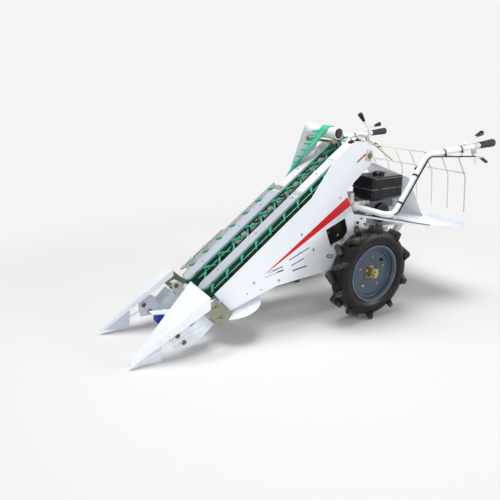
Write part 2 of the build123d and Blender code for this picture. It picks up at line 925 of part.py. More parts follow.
# Clutch levers, x from the axle: foot, knee, end
clutch = {1: (-585.0, (-600.0, 981.0), (-710.0, 1015.0)), -1: (-655.0, (-671.0, 986.0), (-769.0, 1006.0))}
knob_seats = []
with BuildPart() as clutch_levers:
    for side in (1, -1):
        foot, knee, end = clutch[side]
        with BuildLine() as lever_line:
            FilletPolyline(
                (axle_x + foot, side * bar_y, bar_at(axle_x + foot) + bar_radius + 3.9),
                (axle_x + knee[0], side * bar_y, knee[1]),
                (axle_x + end[0], side * bar_y, end[1]),
                radius=12,
            )
        with BuildSketch(Plane(origin=lever_line.line @ 0, z_dir=lever_line.line % 0)):
            Circle(lever_radius)
        sweep(path=lever_line.line)
        knob_seats.append((lever_line.line @ 1, lever_line.line % 1))
save(clutch_levers, "clutch_levers")

with BuildPart() as brake_levers:
    for side in (1, -1):
        with BuildSketch(side_plane(side * bar_y + 7)):
            with BuildLine():
                Polyline(
                    (axle_x - 690, bar_at(axle_x - 690) - bar_radius - 4 * seat_gap),
                    (axle_x - 684, 896),
                    (axle_x - 753, 883),
                    (axle_x - 817, 848),
                )
            trace(line_width=8)
        extrude(amount=14)
save(brake_levers, "brake_levers")

with BuildPart() as control_cables:
    for side in (1, -1):
        cable_y = side * (bar_y + bar_radius + cable_radius + seat_gap)
        with BuildLine() as cable_line:
            FilletPolyline(
                (axle_x - 48, cable_y, bar_cross_z + 3),
                (axle_x - 73, cable_y, bar_cross_z + 5),
                (axle_x - 287, cable_y, 921),
                (axle_x - 677, cable_y, 894),
                radius=(45, 50),
            )
        with BuildSketch(Plane(origin=cable_line.line @ 0, z_dir=cable_line.line % 0)):
            Circle(cable_radius)
        sweep(path=cable_line.line)
save(control_cables, "control_cables")

# Engine bed, engine, recoil cover, muffler, tank
bed_left = axle_tube_reach
bed_right = -140.0
bed_z = rail_top + bed_rise
with BuildPart() as engine_bed:
    with Locations((engine_x, (bed_left + bed_right) / 2, bed_z - bed_sheet / 2)):
        Box(320, bed_left - bed_right, bed_sheet)
    for x in (engine_x - 130, engine_x + 130):
        with Locations(*[(x, side * rail_y, (rail_top + bed_z) / 2 - bed_sheet / 4) for side in (1, -1)]):
            Box(bed_leg, bed_leg, bed_rise - bed_sheet / 2)
save(engine_bed, "engine_bed")

block_top = bed_z + engine_height
with BuildPart() as engine_block:
    with Locations((engine_x, engine_y, (bed_z + block_top) / 2)):
        Box(engine_length, engine_width, engine_height)
    fillet(engine_block.edges().filter_by(Axis.Y), 24)
    with Locations((engine_x, engine_y, (block_top + tank_bottom) / 2 - 8)):
        Box(110, 100, tank_bottom - block_top - 14)
    for k in range(3):
        with Locations((engine_x, engine_y, block_top + 11 + 15 * k)):
            Box(150, 138, 6)
    for x in (engine_x - 78, engine_x + 78):
        with Locations((x, tank_y, (block_top + tank_bottom) / 2 - 15)):
            Box(12, 50, tank_bottom - block_top + 30)
save(engine_block, "engine_block")

with BuildPart() as recoil_cover:
    with BuildSketch(side_plane(engine_y + engine_width / 2)):
        with Locations((engine_x, bed_z + recoil_radius + 4)):
            Circle(recoil_radius)
    extrude(amount=-recoil_depth, taper=8)
    fillet(recoil_cover.faces().sort_by(Axis.Y)[-1].edges(), 8)
save(recoil_cover, "recoil_cover")

with BuildPart() as muffler:
    with Locations((engine_x, engine_y - 69 - 45, block_top + 38)):
        Box(150, 90, 70)
    fillet(muffler.edges().filter_by(Axis.X), 20)
save(muffler, "muffler")

with BuildPart() as fuel_tank:
    with Locations((tank_x, tank_y, tank_bottom + tank_height / 2)):
        Box(tank_length, tank_width, tank_height)
    fillet(fuel_tank.edges().filter_by(Axis.Z), 15)
    chamfer(fuel_tank.faces().sort_by(Axis.Z)[0].edges(), 14)
    fillet(fuel_tank.faces().sort_by(Axis.Z)[-1].edges(), 12)
    with BuildSketch(Plane.XY.offset(tank_bottom + tank_height / 2 - 3)):
        with Locations((tank_x, tank_y)):
            RectangleRounded(tank_length + 12, tank_width + 12, 21)
    extrude(amount=6)
save(fuel_tank, "fuel_tank")

with BuildPart() as fuel_cap:
    with Locations((tank_x, tank_y, tank_bottom + tank_height + 8)):
        Cylinder(34, 16)
    chamfer(fuel_cap.faces().sort_by(Axis.Z)[-1].edges(), 4)
save(fuel_cap, "fuel_cap")

# Dark drive case beside the rear stand, seen through the panel's window
with BuildPart() as drive_case:
    with BuildSketch(side_plane(belt_y + post_width / 2 + seat_gap)):
        with Locations(Location((axle_x + 136, 486), -15)):
            SlotCenterToCenter(90, 146)
    extrude(amount=-58)
    fillet(drive_case.faces().sort_by(Axis.Y)[-1].edges(), 10)
save(drive_case, "drive_case")

# Tray behind the engine on two arms, with a turned-up rear edge
tray_fall = (tray_fold_z - tray_rear_z) / (tray_fold_x - tray_rear_x)
guard_spread = (tray_fold_y - guard_front_y) / (guard_front_x - tray_fold_x)
hem_line = (
    (guard_front_x, guard_front_y, guard_front_z),
    (tray_fold_x, tray_fold_y, tray_fold_z),
    (tray_rear_x, tray_left_y, tray_rear_z),
)


def tray_z(x):
    return tray_rear_z + (x - tray_rear_x) * tray_fall


with BuildPart() as discharge_tray:
    with BuildSketch(side_plane(tray_left_y)):
        with BuildLine():
            Polyline(
                (guard_front_x, guard_front_z),
                (tray_fold_x, tray_fold_z),
                (tray_rear_x, tray_rear_z),
                (tray_rear_x - 4, tray_rear_z + tray_lip),
                (tray_rear_x - 4 - tray_sheet, tray_rear_z + tray_lip),
                (tray_rear_x - tray_sheet, tray_rear_z - tray_sheet),
                (tray_fold_x, tray_fold_z - tray_sheet),
                (guard_front_x, guard_front_z - tray_sheet),
                close=True,
            )
        make_face()
    extrude(amount=tray_left_y - tray_right_y)
    with BuildSketch(Plane.XY):
        with BuildLine():
            Polyline(
                (guard_front_x, guard_front_y),
                (tray_fold_x, tray_fold_y),
                (tray_rear_x - 10, tray_left_y),
                (tray_rear_x - 10, tray_right_y),
                (tray_front_x, tray_right_y),
                (tray_front_x, guard_front_y + (guard_front_x - tray_front_x) * guard_spread - guard_width),
                (guard_front_x, guard_front_y - guard_width),
                close=True,
            )
        make_face()
    extrude(amount=2 * guard_front_z, mode=Mode.INTERSECT)
    for a, b in zip(hem_line, hem_line[1:]):
        reach = hypot(b[0] - a[0], b[1] - a[1])
        with BuildSketch(
            Plane(origin=(a[0], a[1], 0), x_dir=(b[0] - a[0], b[1] - a[1], 0), z_dir=(b[1] - a[1], a[0] - b[0], 0))
        ):
            Polygon((0, a[2]), (reach, b[2]), (reach, b[2] - tray_hem), (0, a[2] - tray_hem), align=None)
        extrude(amount=-tray_sheet)
save(discharge_tray, "discharge_tray")

with BuildPart() as tray_arms:
    for side in (1, -1):
        with BuildSketch(side_plane(side * rail_y + 15)):
            with BuildLine():
                Polyline(
                    (rail_rear, rail_z + 8),
                    (rail_rear, rail_top - 4),
                    (axle_x - 470, tray_z(axle_x - 470) - tray_sheet),
                    (axle_x - 700, tray_z(axle_x - 700) - tray_sheet),
                    (axle_x - 700, tray_z(axle_x - 700) - tray_sheet - 22),
                    (axle_x - 490, tray_z(axle_x - 490) - tray_sheet - 45),
                    close=True,
                )
            make_face()
        extrude(amount=30)
save(tray_arms, "tray_arms")

# Chute from the belts' head down to the tray, and its post on the right rail
chute_head = (axle_x - 140.0, 880.0)
chute_knee = (axle_x - 556.0, 725.0)
chute_foot_x = axle_x - 722.0
with BuildPart() as chute:
    with BuildSketch(side_plane(chute_left_y)):
        with BuildLine():
            Polyline(
                chute_head,
                chute_knee,
                (chute_foot_x, tray_z(chute_foot_x) + seat_gap + 1.5),
            )
        trace(line_width=tray_sheet)
    extrude(amount=chute_left_y - chute_right_y)
save(chute, "chute")

post_x = engine_x + 20
chute_fall = (chute_head[1] - chute_knee[1]) / (chute_head[0] - chute_knee[0])
chute_under = chute_knee[1] + (post_x - chute_knee[0]) * chute_fall - tray_sheet
with BuildPart() as chute_post:
    with BuildSketch(side_plane(-rail_y + 16)):
        with BuildLine():
            Polyline(
                (post_x - 16, bed_z),
                (post_x + 16, bed_z),
                (post_x + 16, chute_under + 16 * chute_fall),
                (post_x - 16, chute_under - 16 * chute_fall),
                close=True,
            )
        make_face()
    extrude(amount=32)
save(chute_post, "chute_post")

# Comb rack: bars hung from the handle arms, bent teeth down to the tray
rack_x = axle_x - 613.0
rack_z = 890.0
bar_low = (axle_x - 700.0, 760.0)
tooth_end = (axle_x - 725.0, 541.0)
rack_end = bar_y - bar_radius - rack_wire - seat_gap
with BuildPart() as comb_rack:
    for k in range(rack_count):
        y = rack_left_y - rack_pitch * k
        with BuildLine() as tooth_line:
            FilletPolyline((rack_x, y, rack_z), (bar_low[0], y, bar_low[1]), (tooth_end[0], y, tooth_end[1]), radius=20)
        with BuildSketch(Plane(origin=tooth_line.line @ 0, z_dir=tooth_line.line % 0)):
            Circle(tooth_wire)
        sweep(path=tooth_line.line)
    with BuildLine() as rack_line:
        FilletPolyline(
            (rack_x, -rack_end, bar_at(rack_x)),
            (rack_x, -rack_end, rack_z),
            (rack_x, rack_end, rack_z),
            (rack_x, rack_end, bar_at(rack_x)),
            radius=12,
        )
    with BuildSketch(Plane(origin=rack_line.line @ 0, z_dir=rack_line.line % 0)):
        Circle(rack_wire)
    sweep(path=rack_line.line)
    with BuildSketch(side_plane(rack_left_y + 10)):
        with Locations(
            (
                bar_low[0] + (rack_x - bar_low[0]) * rack_bar_up,
                bar_low[1] + (rack_z - bar_low[1]) * rack_bar_up,
            )
        ):
            Circle(rack_wire)
    extrude(amount=rack_pitch * (rack_count - 1) + 20)
save(comb_rack, "comb_rack")

# Shift lever on the chute's upper run
with BuildPart() as shift_lever:
    foot_x = axle_x - 291
    foot_z = chute_knee[1] + (foot_x - chute_knee[0]) * chute_fall + 4.4
    with BuildLine() as shift_line:
        FilletPolyline((foot_x, 0, foot_z), (axle_x - 271, 0, 1030), (axle_x - 212, 0, 1100), radius=30)
    with BuildSketch(Plane(origin=shift_line.line @ 0, z_dir=shift_line.line % 0)):
        Circle(lever_radius)
    sweep(path=shift_line.line)
    knob_seats.append((shift_line.line @ 1, shift_line.line % 1))
save(shift_lever, "shift_lever")

# Long knobs, each with a socket that the lever's end fills
with BuildPart() as lever_knobs:
    socket_radius = lever_radius + seat_gap
    socket_floor = knob_socket + seat_gap
    shoulder = knob_length - knob_radius / 2
    shoulder_flat = knob_radius / 2
    for end, way in knob_seats:
        knob = Plane(origin=end - way * knob_socket, x_dir=(0, 1, 0), z_dir=Vector(0, 1, 0).cross(way))
        with BuildSketch(knob):
            with BuildLine():
                Polyline(
                    (0, knob_length),
                    (0, socket_floor),
                    (socket_radius, socket_floor),
                    (socket_radius, 0),
                    (knob_neck, 0),
                    (knob_radius, shoulder),
                )
                ThreePointArc(
                    (knob_radius, shoulder), (knob_radius - 1.8, knob_length - 1.8), (shoulder_flat, knob_length)
                )
                Line((shoulder_flat, knob_length), (0, knob_length))
            make_face()
        revolve(axis=Axis(knob.origin, way))
save(lever_knobs, "lever_knobs")

# Rod along the right panel's outside on two bosses
with BuildPart() as side_rod:
    rod_y = -(panel_y + 20)
    low = (axle_x + 900.0, deck_z(axle_x + 900) - 70)
    high = (axle_x + 500.0, deck_z(axle_x + 500) - 70)
    with BuildLine() as rod_line:
        Line((low[0], rod_y, low[1]), (high[0], rod_y, high[1]))
    with BuildSketch(Plane(origin=rod_line.line @ 0, z_dir=rod_line.line % 0)):
        Circle(7)
    sweep(path=rod_line.line)
    for share in (0.2, 0.8):
        x = low[0] + (high[0] - low[0]) * share
        z = low[1] + (high[1] - low[1]) * share
        with BuildSketch(side_plane(-panel_y)):
            with Locations((x, z)):
                Circle(10)
        extrude(amount=28)
save(side_rod, "side_rod")
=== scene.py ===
import math

import bpy
from mathutils import Matrix, Quaternion, Vector


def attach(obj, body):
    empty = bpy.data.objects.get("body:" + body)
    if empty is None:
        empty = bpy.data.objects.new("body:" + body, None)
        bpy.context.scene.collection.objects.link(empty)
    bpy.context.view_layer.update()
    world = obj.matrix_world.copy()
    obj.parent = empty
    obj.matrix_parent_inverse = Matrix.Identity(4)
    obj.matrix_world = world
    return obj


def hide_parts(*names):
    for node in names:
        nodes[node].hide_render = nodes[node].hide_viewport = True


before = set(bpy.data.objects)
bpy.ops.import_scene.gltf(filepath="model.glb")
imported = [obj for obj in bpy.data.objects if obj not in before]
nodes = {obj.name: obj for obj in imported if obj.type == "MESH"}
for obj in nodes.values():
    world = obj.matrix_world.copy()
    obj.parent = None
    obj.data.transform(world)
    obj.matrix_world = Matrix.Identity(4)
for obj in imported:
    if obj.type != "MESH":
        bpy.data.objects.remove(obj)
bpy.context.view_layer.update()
print("frame loaded:", len(nodes), "nodes")


class Term:  # one shader value that takes part in sums
    def __init__(self, finish, out):
        self.finish, self.out = finish, out

    def calc(self, operation, a, b=0.0):
        return self.finish.node("ShaderNodeMath", {"operation": operation}, {0: a, 1: b})

    def __add__(self, other):
        return self.calc("ADD", self, other)

    def __sub__(self, other):
        return self.calc("SUBTRACT", self, other)

    def __mul__(self, other):
        return self.calc("MULTIPLY", self, other)

    def __pow__(self, other):
        return self.calc("POWER", self, other)

    def __abs__(self):
        return self.calc("ABSOLUTE", self)

    def fade(self, low, high, start=0.0, end=1.0):  # low..high to start..end, smooth and held
        span = {"Value": self, "From Min": low, "From Max": high, "To Min": start, "To Max": end}
        return self.finish.node("ShaderNodeMapRange", {"interpolation_type": "SMOOTHSTEP"}, span)


class Finish:  # one material and the nodes that feed it
    def __init__(self, name, **fixed):
        self.material = bpy.data.materials.new(name)
        self.material.use_nodes = True
        self.tree = self.material.node_tree
        self.shader = next(n for n in self.tree.nodes if n.type == "BSDF_PRINCIPLED")
        for socket, value in fixed.items():
            self.shader.inputs[socket.replace("_", " ")].default_value = value
        self.coords = self.node("ShaderNodeTexCoord", {}, {}, "Object")
        self.x, self.y, self.z = (self.node("ShaderNodeSeparateXYZ", {}, {"Vector": self.coords}, axis)
                                  for axis in "XYZ")

    def node(self, kind, settings, sockets, output=0):
        made = self.tree.nodes.new(kind)
        for key, value in settings.items():
            setattr(made, key, value)
        for key, value in sockets.items():
            if isinstance(value, Term):
                self.tree.links.new(value.out, made.inputs[key])
            else:
                made.inputs[key].default_value = value
        return Term(self, made.outputs[output])

    def noise(self, scale, detail=3.0, roughness=0.55, warp=0.0):
        return self.node("ShaderNodeTexNoise", {}, {"Vector": self.coords, "Scale": scale, "Detail": detail,
                                                    "Roughness": roughness, "Distortion": warp}, "Fac")

    def mix(self, share, first, second):  # two colours
        return self.node("ShaderNodeMix", {"data_type": "RGBA"}, {"Factor": share, 6: first, 7: second}, 2)

    def feed(self, socket, value):
        self.tree.links.new(value.out, self.shader.inputs[socket])

    def bump(self, height, depth, strength=0.6):
        sockets = {"Height": height, "Distance": depth, "Strength": strength}
        self.feed("Normal", self.node("ShaderNodeBump", {}, sockets, "Normal"))


def rgb(red, green, blue):
    return (red, green, blue, 1.0)


def sprayedPaint(name, colour, shade, dust, rough=0.38, peel=0.00035, soil=0.35):
    f = Finish(name, Coat_Weight=0.12, Coat_Roughness=0.18, Specular_IOR_Level=0.36)
    cloud = f.noise(3.2, 4.0)
    body = f.mix(cloud.fade(0.35, 0.7), colour, shade)
    low = f.z.fade(0.0, 0.34, 1.0, 0.0)
    grit = f.noise(38.0, 6.0, 0.7)
    f.feed("Base Color", f.mix(grit.fade(0.52, 0.74) * (low * soil + 0.05), body, dust))
    f.feed("Roughness", f.noise(9.0, 5.0, 0.65).fade(0.3, 0.75, rough - 0.07, rough + 0.1))
    f.bump(f.noise(420.0, 1.0), peel, 0.25)
    return f


# millimetres: the axle in the frame, and the belt deck's foot ahead of the axle and over the ground
axle = {"x": -273.0, "z": 275.0}
deckFoot = {"x": 960.0, "z": 274.0, "lean": math.radians(35.3)}
# finishes work in metres
wheelAxle = (axle["x"] / 1000, axle["z"] / 1000)
pipeBore = {"axis": (-0.253, 1.027), "edge": (0.0296, 0.0290)}

dustTan = rgb(0.42, 0.36, 0.28)
dustGrey = rgb(0.12, 0.12, 0.11)
sheetWhite = sprayedPaint("sheetWhite", rgb(0.78, 0.81, 0.86), rgb(0.73, 0.77, 0.83), dustTan)
frameWhite = sprayedPaint("frameWhite", rgb(0.66, 0.68, 0.70), rgb(0.56, 0.58, 0.61), dustTan, 0.45)
caseSilver = sprayedPaint("caseSilver", rgb(0.50, 0.53, 0.58), rgb(0.42, 0.45, 0.50), dustTan, 0.34)
wireCream = sprayedPaint("wireCream", rgb(0.70, 0.69, 0.62), rgb(0.56, 0.54, 0.46), dustTan, 0.42)
chuteWhite = sprayedPaint("chuteWhite", rgb(0.90, 0.93, 0.95), rgb(0.87, 0.90, 0.93), dustTan)
rodTan = sprayedPaint("rodTan", rgb(0.42, 0.37, 0.27), rgb(0.30, 0.25, 0.17), dustTan, 0.4)

stripes = {  # corners in x and z, metres, and the red
    "panel": ((0.358, 0.319), (-0.215, 0.688), (-0.246, 0.635)),
    "cover": ((-0.271, 0.884), (-0.333, 0.926), (-0.339, 0.917), (-0.277, 0.875)),
    "red": rgb(0.60, 0.003, 0.007),
}


def inside(f, corners):  # one within the corners, which run clockwise seen from the machine's left
    within = None
    for (x0, z0), (x1, z1) in zip(corners, corners[1:] + corners[:1]):
        length = math.hypot(x1 - x0, z1 - z0)
        across = (f.x - x0) * ((z1 - z0) / length) - (f.z - z0) * ((x1 - x0) / length)
        edge = across.fade(0.0004, -0.0004)
        within = edge if within is None else within * edge
    return within


def over(f, mask, colour):  # lays a colour on the base colour that is there
    plain = f.shader.inputs["Base Color"].links[0].from_socket
    f.feed("Base Color", f.mix(mask, Term(f, plain), colour))


def fromAxis(f, x, z):  # distance from a line that runs across the machine
    return ((f.x - x) ** 2.0 + (f.z - z) ** 2.0) ** 0.5


def rimPaint():  # blue-grey, with a painted highlight along the flange
    f = sprayedPaint("rimPaint", rgb(0.040, 0.060, 0.094), rgb(0.030, 0.046, 0.074), dustGrey, 0.25)
    # the pale ring at the flange's radius, broken up by noise, is a painted highlight
    flangeHighlight = fromAxis(f, *wheelAxle).fade(0.1612, 0.1636) * f.noise(14.0).fade(0.3, 0.6, 0.35, 1.0)
    over(f, flangeHighlight, rgb(0.20, 0.25, 0.32))
    return f


def pipePaint():  # white outside, with painted shade in the bore
    f = sprayedPaint("pipePaint", rgb(0.78, 0.81, 0.84), rgb(0.73, 0.76, 0.80), dustTan)
    # the bore is painted dark brown-grey as shade
    over(f, fromAxis(f, *pipeBore["axis"]).fade(*pipeBore["edge"]), rgb(0.24, 0.215, 0.19))
    return f


wheelBlue, pipeWhite = rimPaint(), pipePaint()


def stripedSheet(name, corners):
    f = sprayedPaint(name, rgb(0.78, 0.81, 0.86), rgb(0.73, 0.77, 0.83), dustTan)
    over(f, inside(f, corners), stripes["red"])
    return f


panelWhite = stripedSheet("panelWhite", stripes["panel"])
coverWhite = stripedSheet("coverWhite", stripes["cover"])


def deckHeight(f):  # over the belt deck's top, metres
    ahead, rise = f.x - (deckFoot["x"] + axle["x"]) / 1000, f.z - deckFoot["z"] / 1000
    return ahead * math.sin(deckFoot["lean"]) + rise * math.cos(deckFoot["lean"])


def beltRubber():
    f = Finish("beltRubber", Specular_IOR_Level=0.3)
    across, up = abs(abs(f.y) - 0.090), deckHeight(f)
    ribs = f.noise(70.0, 3.0)
    loop = f.mix(ribs.fade(0.35, 0.7), rgb(0.0015, 0.050, 0.027), rgb(0.003, 0.085, 0.045))
    fork = f.mix(f.noise(24.0).fade(0.35, 0.7), rgb(0.014, 0.29, 0.165), rgb(0.035, 0.41, 0.24))
    edge = f.mix(ribs.fade(0.35, 0.7), rgb(0.004, 0.17, 0.12), rgb(0.010, 0.23, 0.165))
    body = f.mix(up.fade(-0.0092, -0.0082), loop, edge)
    body = f.mix(across.fade(0.0452, 0.0475), body, fork)
    # a near-black band on the strands, 19.5 to 59.5 mm under the deck top, is painted shade
    root = across.fade(0.0454, 0.0460) * across.fade(0.0535, 0.0525)
    paintedShadeAtRoots = root * up.fade(-0.0185, -0.0195) * up.fade(-0.0605, -0.0595)
    body = f.mix(paintedShadeAtRoots, body, rgb(0.003, 0.006, 0.005))
    # brighter green above the deck top is painted light on the strands that lie flat and face up
    paintedLitGreen = f.mix(ribs.fade(0.3, 0.7), rgb(0.035, 0.42, 0.25), rgb(0.07, 0.52, 0.33))
    body = f.mix(up.fade(-0.004, 0.012), body, paintedLitGreen)
    f.feed("Base Color", body)
    f.feed("Roughness", f.noise(14.0, 4.0).fade(0.3, 0.7, 0.42, 0.6))
    f.bump(f.noise(300.0, 2.0), 0.0004, 0.35)
    return f


tread = {"carcass": 0.249, "top": 0.270}  # radii in metres


def tyreRubber():
    f = Finish("tyreRubber", Specular_IOR_Level=0.20)
    away = fromAxis(f, *wheelAxle)
    lug = away.fade(tread["carcass"], tread["top"])
    scuff = f.noise(26.0, 6.0, 0.7)
    body = f.mix(scuff.fade(0.4, 0.75), rgb(0.0045, 0.0046, 0.0058), rgb(0.011, 0.010, 0.0105))
    worn = f.mix(scuff.fade(0.35, 0.7), rgb(0.024, 0.020, 0.016), rgb(0.130, 0.108, 0.082))
    f.feed("Base Color", f.mix(lug * f.noise(55.0, 5.0, 0.7).fade(0.34, 0.6), body, worn))
    f.feed("Roughness", scuff.fade(0.3, 0.8, 0.30, 0.46) + lug * 0.30)
    rings = f.node("ShaderNodeMath", {"operation": "SINE"}, {0: away * 620.0})
    f.bump(f.noise(180.0, 4.0) + rings * away.fade(0.200, 0.190) * 0.6, 0.0006, 0.4)
    return f


def plated(name, colour, stain, rough, metal=1.0):
    f = Finish(name)
    blotch = f.noise(45.0, 5.0, 0.65)
    f.feed("Base Color", f.mix(blotch.fade(0.42, 0.72), colour, stain))
    f.feed("Roughness", blotch.fade(0.3, 0.75, rough - 0.08, rough + 0.14))
    f.feed("Metallic", blotch.fade(0.5, 0.85, metal, metal - 0.2))
    f.bump(f.noise(500.0, 2.0), 0.0002, 0.25)
    return f


def castSkin(name, colour, pit):
    f = Finish(name)
    grain = f.noise(120.0, 5.0, 0.7)
    f.feed("Base Color", f.mix(grain.fade(0.45, 0.75), colour, pit))
    f.feed("Roughness", f.noise(18.0, 4.0).fade(0.3, 0.7, 0.46, 0.66))
    f.bump(grain, 0.0012, 0.5)
    return f


def moulded(name, colour, worn, rough, grain=0.0004):
    f = Finish(name, Specular_IOR_Level=0.24)
    f.feed("Base Color", f.mix(f.noise(16.0, 5.0, 0.65).fade(0.45, 0.75), colour, worn))
    f.feed("Roughness", f.noise(30.0, 4.0).fade(0.3, 0.7, rough - 0.06, rough + 0.1))
    f.bump(f.noise(650.0, 2.0), grain, 0.3)
    return f


belt = beltRubber()
tyre = tyreRubber()
yellowZinc = plated("yellowZinc", rgb(0.42, 0.345, 0.180), rgb(0.20, 0.165, 0.095), 0.34)
brightSteel = plated("brightSteel", rgb(0.55, 0.55, 0.55), rgb(0.42, 0.41, 0.40), 0.32)
castCream = castSkin("castCream", rgb(0.60, 0.59, 0.53), rgb(0.42, 0.41, 0.35))
alloyCast = castSkin("alloyCast", rgb(0.34, 0.345, 0.35), rgb(0.22, 0.22, 0.225))
tankBlack = moulded("tankBlack", rgb(0.007, 0.007, 0.009), rgb(0.012, 0.012, 0.014), 0.24, 0.0002)
gripGrey = moulded("gripGrey", rgb(0.026, 0.031, 0.041), rgb(0.040, 0.046, 0.058), 0.5, 0.0006)
driveBlack = moulded("driveBlack", rgb(0.006, 0.006, 0.006), rgb(0.012, 0.011, 0.010), 0.5)
capBlue = moulded("capBlue", rgb(0.012, 0.035, 0.30), rgb(0.018, 0.050, 0.36), 0.3)

flapCuts = (  # both ends of each cut in x and z, metres
    ((0.703, 0.230), (0.671, 0.253)),
    ((0.688, 0.240), (0.676, 0.236)),
    ((0.676, 0.236), (0.662, 0.242)),
    ((0.673, 0.174), (0.641, 0.189)),
    ((0.660, 0.180), (0.648, 0.170)),
    ((0.648, 0.170), (0.630, 0.172)),
)


def splitFlap():  # a rubber flap with branched cuts
    f = moulded("flapOlive", rgb(0.23, 0.235, 0.175), rgb(0.32, 0.315, 0.245), 0.62, 0.0008)
    for (x0, z0), (x1, z1) in flapCuts:
        length = math.hypot(x1 - x0, z1 - z0)
        along = (f.x - x0) * ((x1 - x0) / length) + (f.z - z0) * ((z1 - z0) / length)
        aside = abs((f.x - x0) * ((z1 - z0) / length) - (f.z - z0) * ((x1 - x0) / length))
        held = along.fade(-0.001, 0.001) * along.fade(length + 0.001, length - 0.001)
        over(f, aside.fade(0.0021, 0.0013) * held, rgb(0.030, 0.028, 0.022))
    return f


def ribPaint():  # pale blue ribs with a white guard rod
    f = sprayedPaint("ribPaint", rgb(0.60, 0.65, 0.72), rgb(0.54, 0.59, 0.67), dustTan, 0.34)
    over(f, abs(f.y).fade(0.2298, 0.2304), rgb(0.80, 0.83, 0.87))
    return f


def casePaint():  # silver below the joint, paler above it
    f = sprayedPaint("casePaint", rgb(0.46, 0.485, 0.545), rgb(0.40, 0.425, 0.48), dustTan, 0.32)
    over(f, f.x.fade(0.090, 0.060) * 0.75, rgb(0.74, 0.76, 0.79))
    return f


def tankPlastic():  # black moulding, with a painted highlight along its seam
    f = moulded("tankPlastic", rgb(0.007, 0.007, 0.009), rgb(0.011, 0.011, 0.013), 0.2, 0.00015)
    # the paler grey band along the seam is a painted highlight
    seamHighlight = abs(f.z - 0.719).fade(0.0042, 0.0030) * f.noise(60.0).fade(0.3, 0.55, 0.5, 1.0)
    over(f, seamHighlight, rgb(0.085, 0.088, 0.096))
    return f


flapOlive, ribPale, caseTop, tankGloss = splitFlap(), ribPaint(), casePaint(), tankPlastic()
boltGrey = plated("boltGrey", rgb(0.42, 0.42, 0.43), rgb(0.30, 0.29, 0.28), 0.36)
boltDark = plated("boltDark", rgb(0.05, 0.05, 0.052), rgb(0.09, 0.085, 0.08), 0.42, 0.8)
darkZinc = plated("darkZinc", rgb(0.20, 0.165, 0.10), rgb(0.13, 0.105, 0.07), 0.38)
# dark moulding for the cable clips, and for the painted shade strip along the tray rim
darkTrimAndShade = moulded("darkTrimAndShade", rgb(0.018, 0.024, 0.032), rgb(0.032, 0.040, 0.050), 0.42)
cowlGrey = moulded("cowlGrey", rgb(0.080, 0.086, 0.098), rgb(0.105, 0.112, 0.124), 0.36)

nodesOf = (  # finish and the nodes that wear it
    (castCream, ("axle_case", "lower_pulleys", "upper_pulleys", "front_housing", "bearing_brackets")),
    (frameWhite, ("frame_rails", "deck_stand_rear", "deck_stand_front", "handle_posts", "engine_bed",
                  "tray_arms", "chute_post")),
    (caseTop, ("belt_case_left", "belt_case_right")),
    (belt, ("tined_belt_left", "tined_belt_right")),
    (panelWhite, ("side_panel_left", "side_panel_right")),
    (coverWhite, ("upper_cover",)),
    (sheetWhite, ("pipe_bracket", "disc_guards", "divider_hood_left", "divider_hood_right", "nose_tongue",
                  "handlebar", "discharge_tray", "shift_lever")),
    (pipeWhite, ("top_pipe",)),
    (yellowZinc, ("top_rod", "hub_left", "hub_right")),
    (rodTan, ("guide_rod", "side_rod")),
    (brightSteel, ("cutter_disc_left", "cutter_disc_right", "clutch_levers", "muffler")),
    (ribPale, ("divider_frame_left", "divider_frame_right")),
    (flapOlive, ("divider_flaps",)),
    (capBlue, ("nose_cap",)),
    (gripGrey, ("grips",)),
    (wireCream, ("brake_levers", "comb_rack")),
    (tankBlack, ("control_cables", "recoil_cover", "fuel_cap", "lever_knobs")),
    (alloyCast, ("engine_block",)),
    (tankGloss, ("fuel_tank",)),
    (chuteWhite, ("chute",)),
    (driveBlack, ("drive_case",)),
    (tyre, ("tyre_left", "tyre_right")),
    (wheelBlue, ("rim_left", "rim_right")),
)
for finish, wearers in nodesOf:
    for name in wearers:
        nodes[name].data.materials.clear()
        nodes[name].data.materials.append(finish.material)
print("finishes set:", sum(len(wearers) for finish, wearers in nodesOf))


# small pieces are given in millimetres: ahead of the axle, to the left, over the ground
def spot(x, y, z):
    return Vector((x + axle["x"], y, z)) / 1000.0


def deckSpot(run, y, up=0.0):  # up the belt slope from its foot
    across, along = math.sin(deckFoot["lean"]), math.cos(deckFoot["lean"])
    return spot(deckFoot["x"] - run * along + up * across, y, deckFoot["z"] + run * across + up * along)


deckUp = (math.sin(deckFoot["lean"]), 0.0, math.cos(deckFoot["lean"]))
deckTurn = (0.0, deckFoot["lean"], 0.0)


def unpick():
    bpy.ops.object.select_all(action="DESELECT")


def turned(foot, axis, profile, corners=24, spin=0.0):  # rows of the profile: along the axis, radius
    axis = Vector(axis).normalized()
    turn = axis.to_track_quat("Z", "Y") @ Quaternion((0, 0, 1), math.radians(spin))
    unpick()
    bpy.ops.mesh.primitive_circle_add(vertices=corners, radius=profile[0][1] / 1000, fill_type="NGON",
                                      location=foot + axis * profile[0][0] / 1000, rotation=turn.to_euler())
    bpy.ops.object.mode_set(mode="EDIT")
    bpy.ops.mesh.select_all(action="SELECT")
    for (start, before), (end, after) in zip(profile, profile[1:]):
        bpy.ops.mesh.extrude_region_move(TRANSFORM_OT_translate={"value": axis * (end - start) / 1000})
        bpy.ops.transform.resize(value=(after / before,) * 3, center_override=foot + axis * end / 1000)
    bpy.ops.mesh.select_all(action="SELECT")
    bpy.ops.mesh.normals_make_consistent(inside=False)
    bpy.ops.object.mode_set(mode="OBJECT")
    return bpy.context.active_object


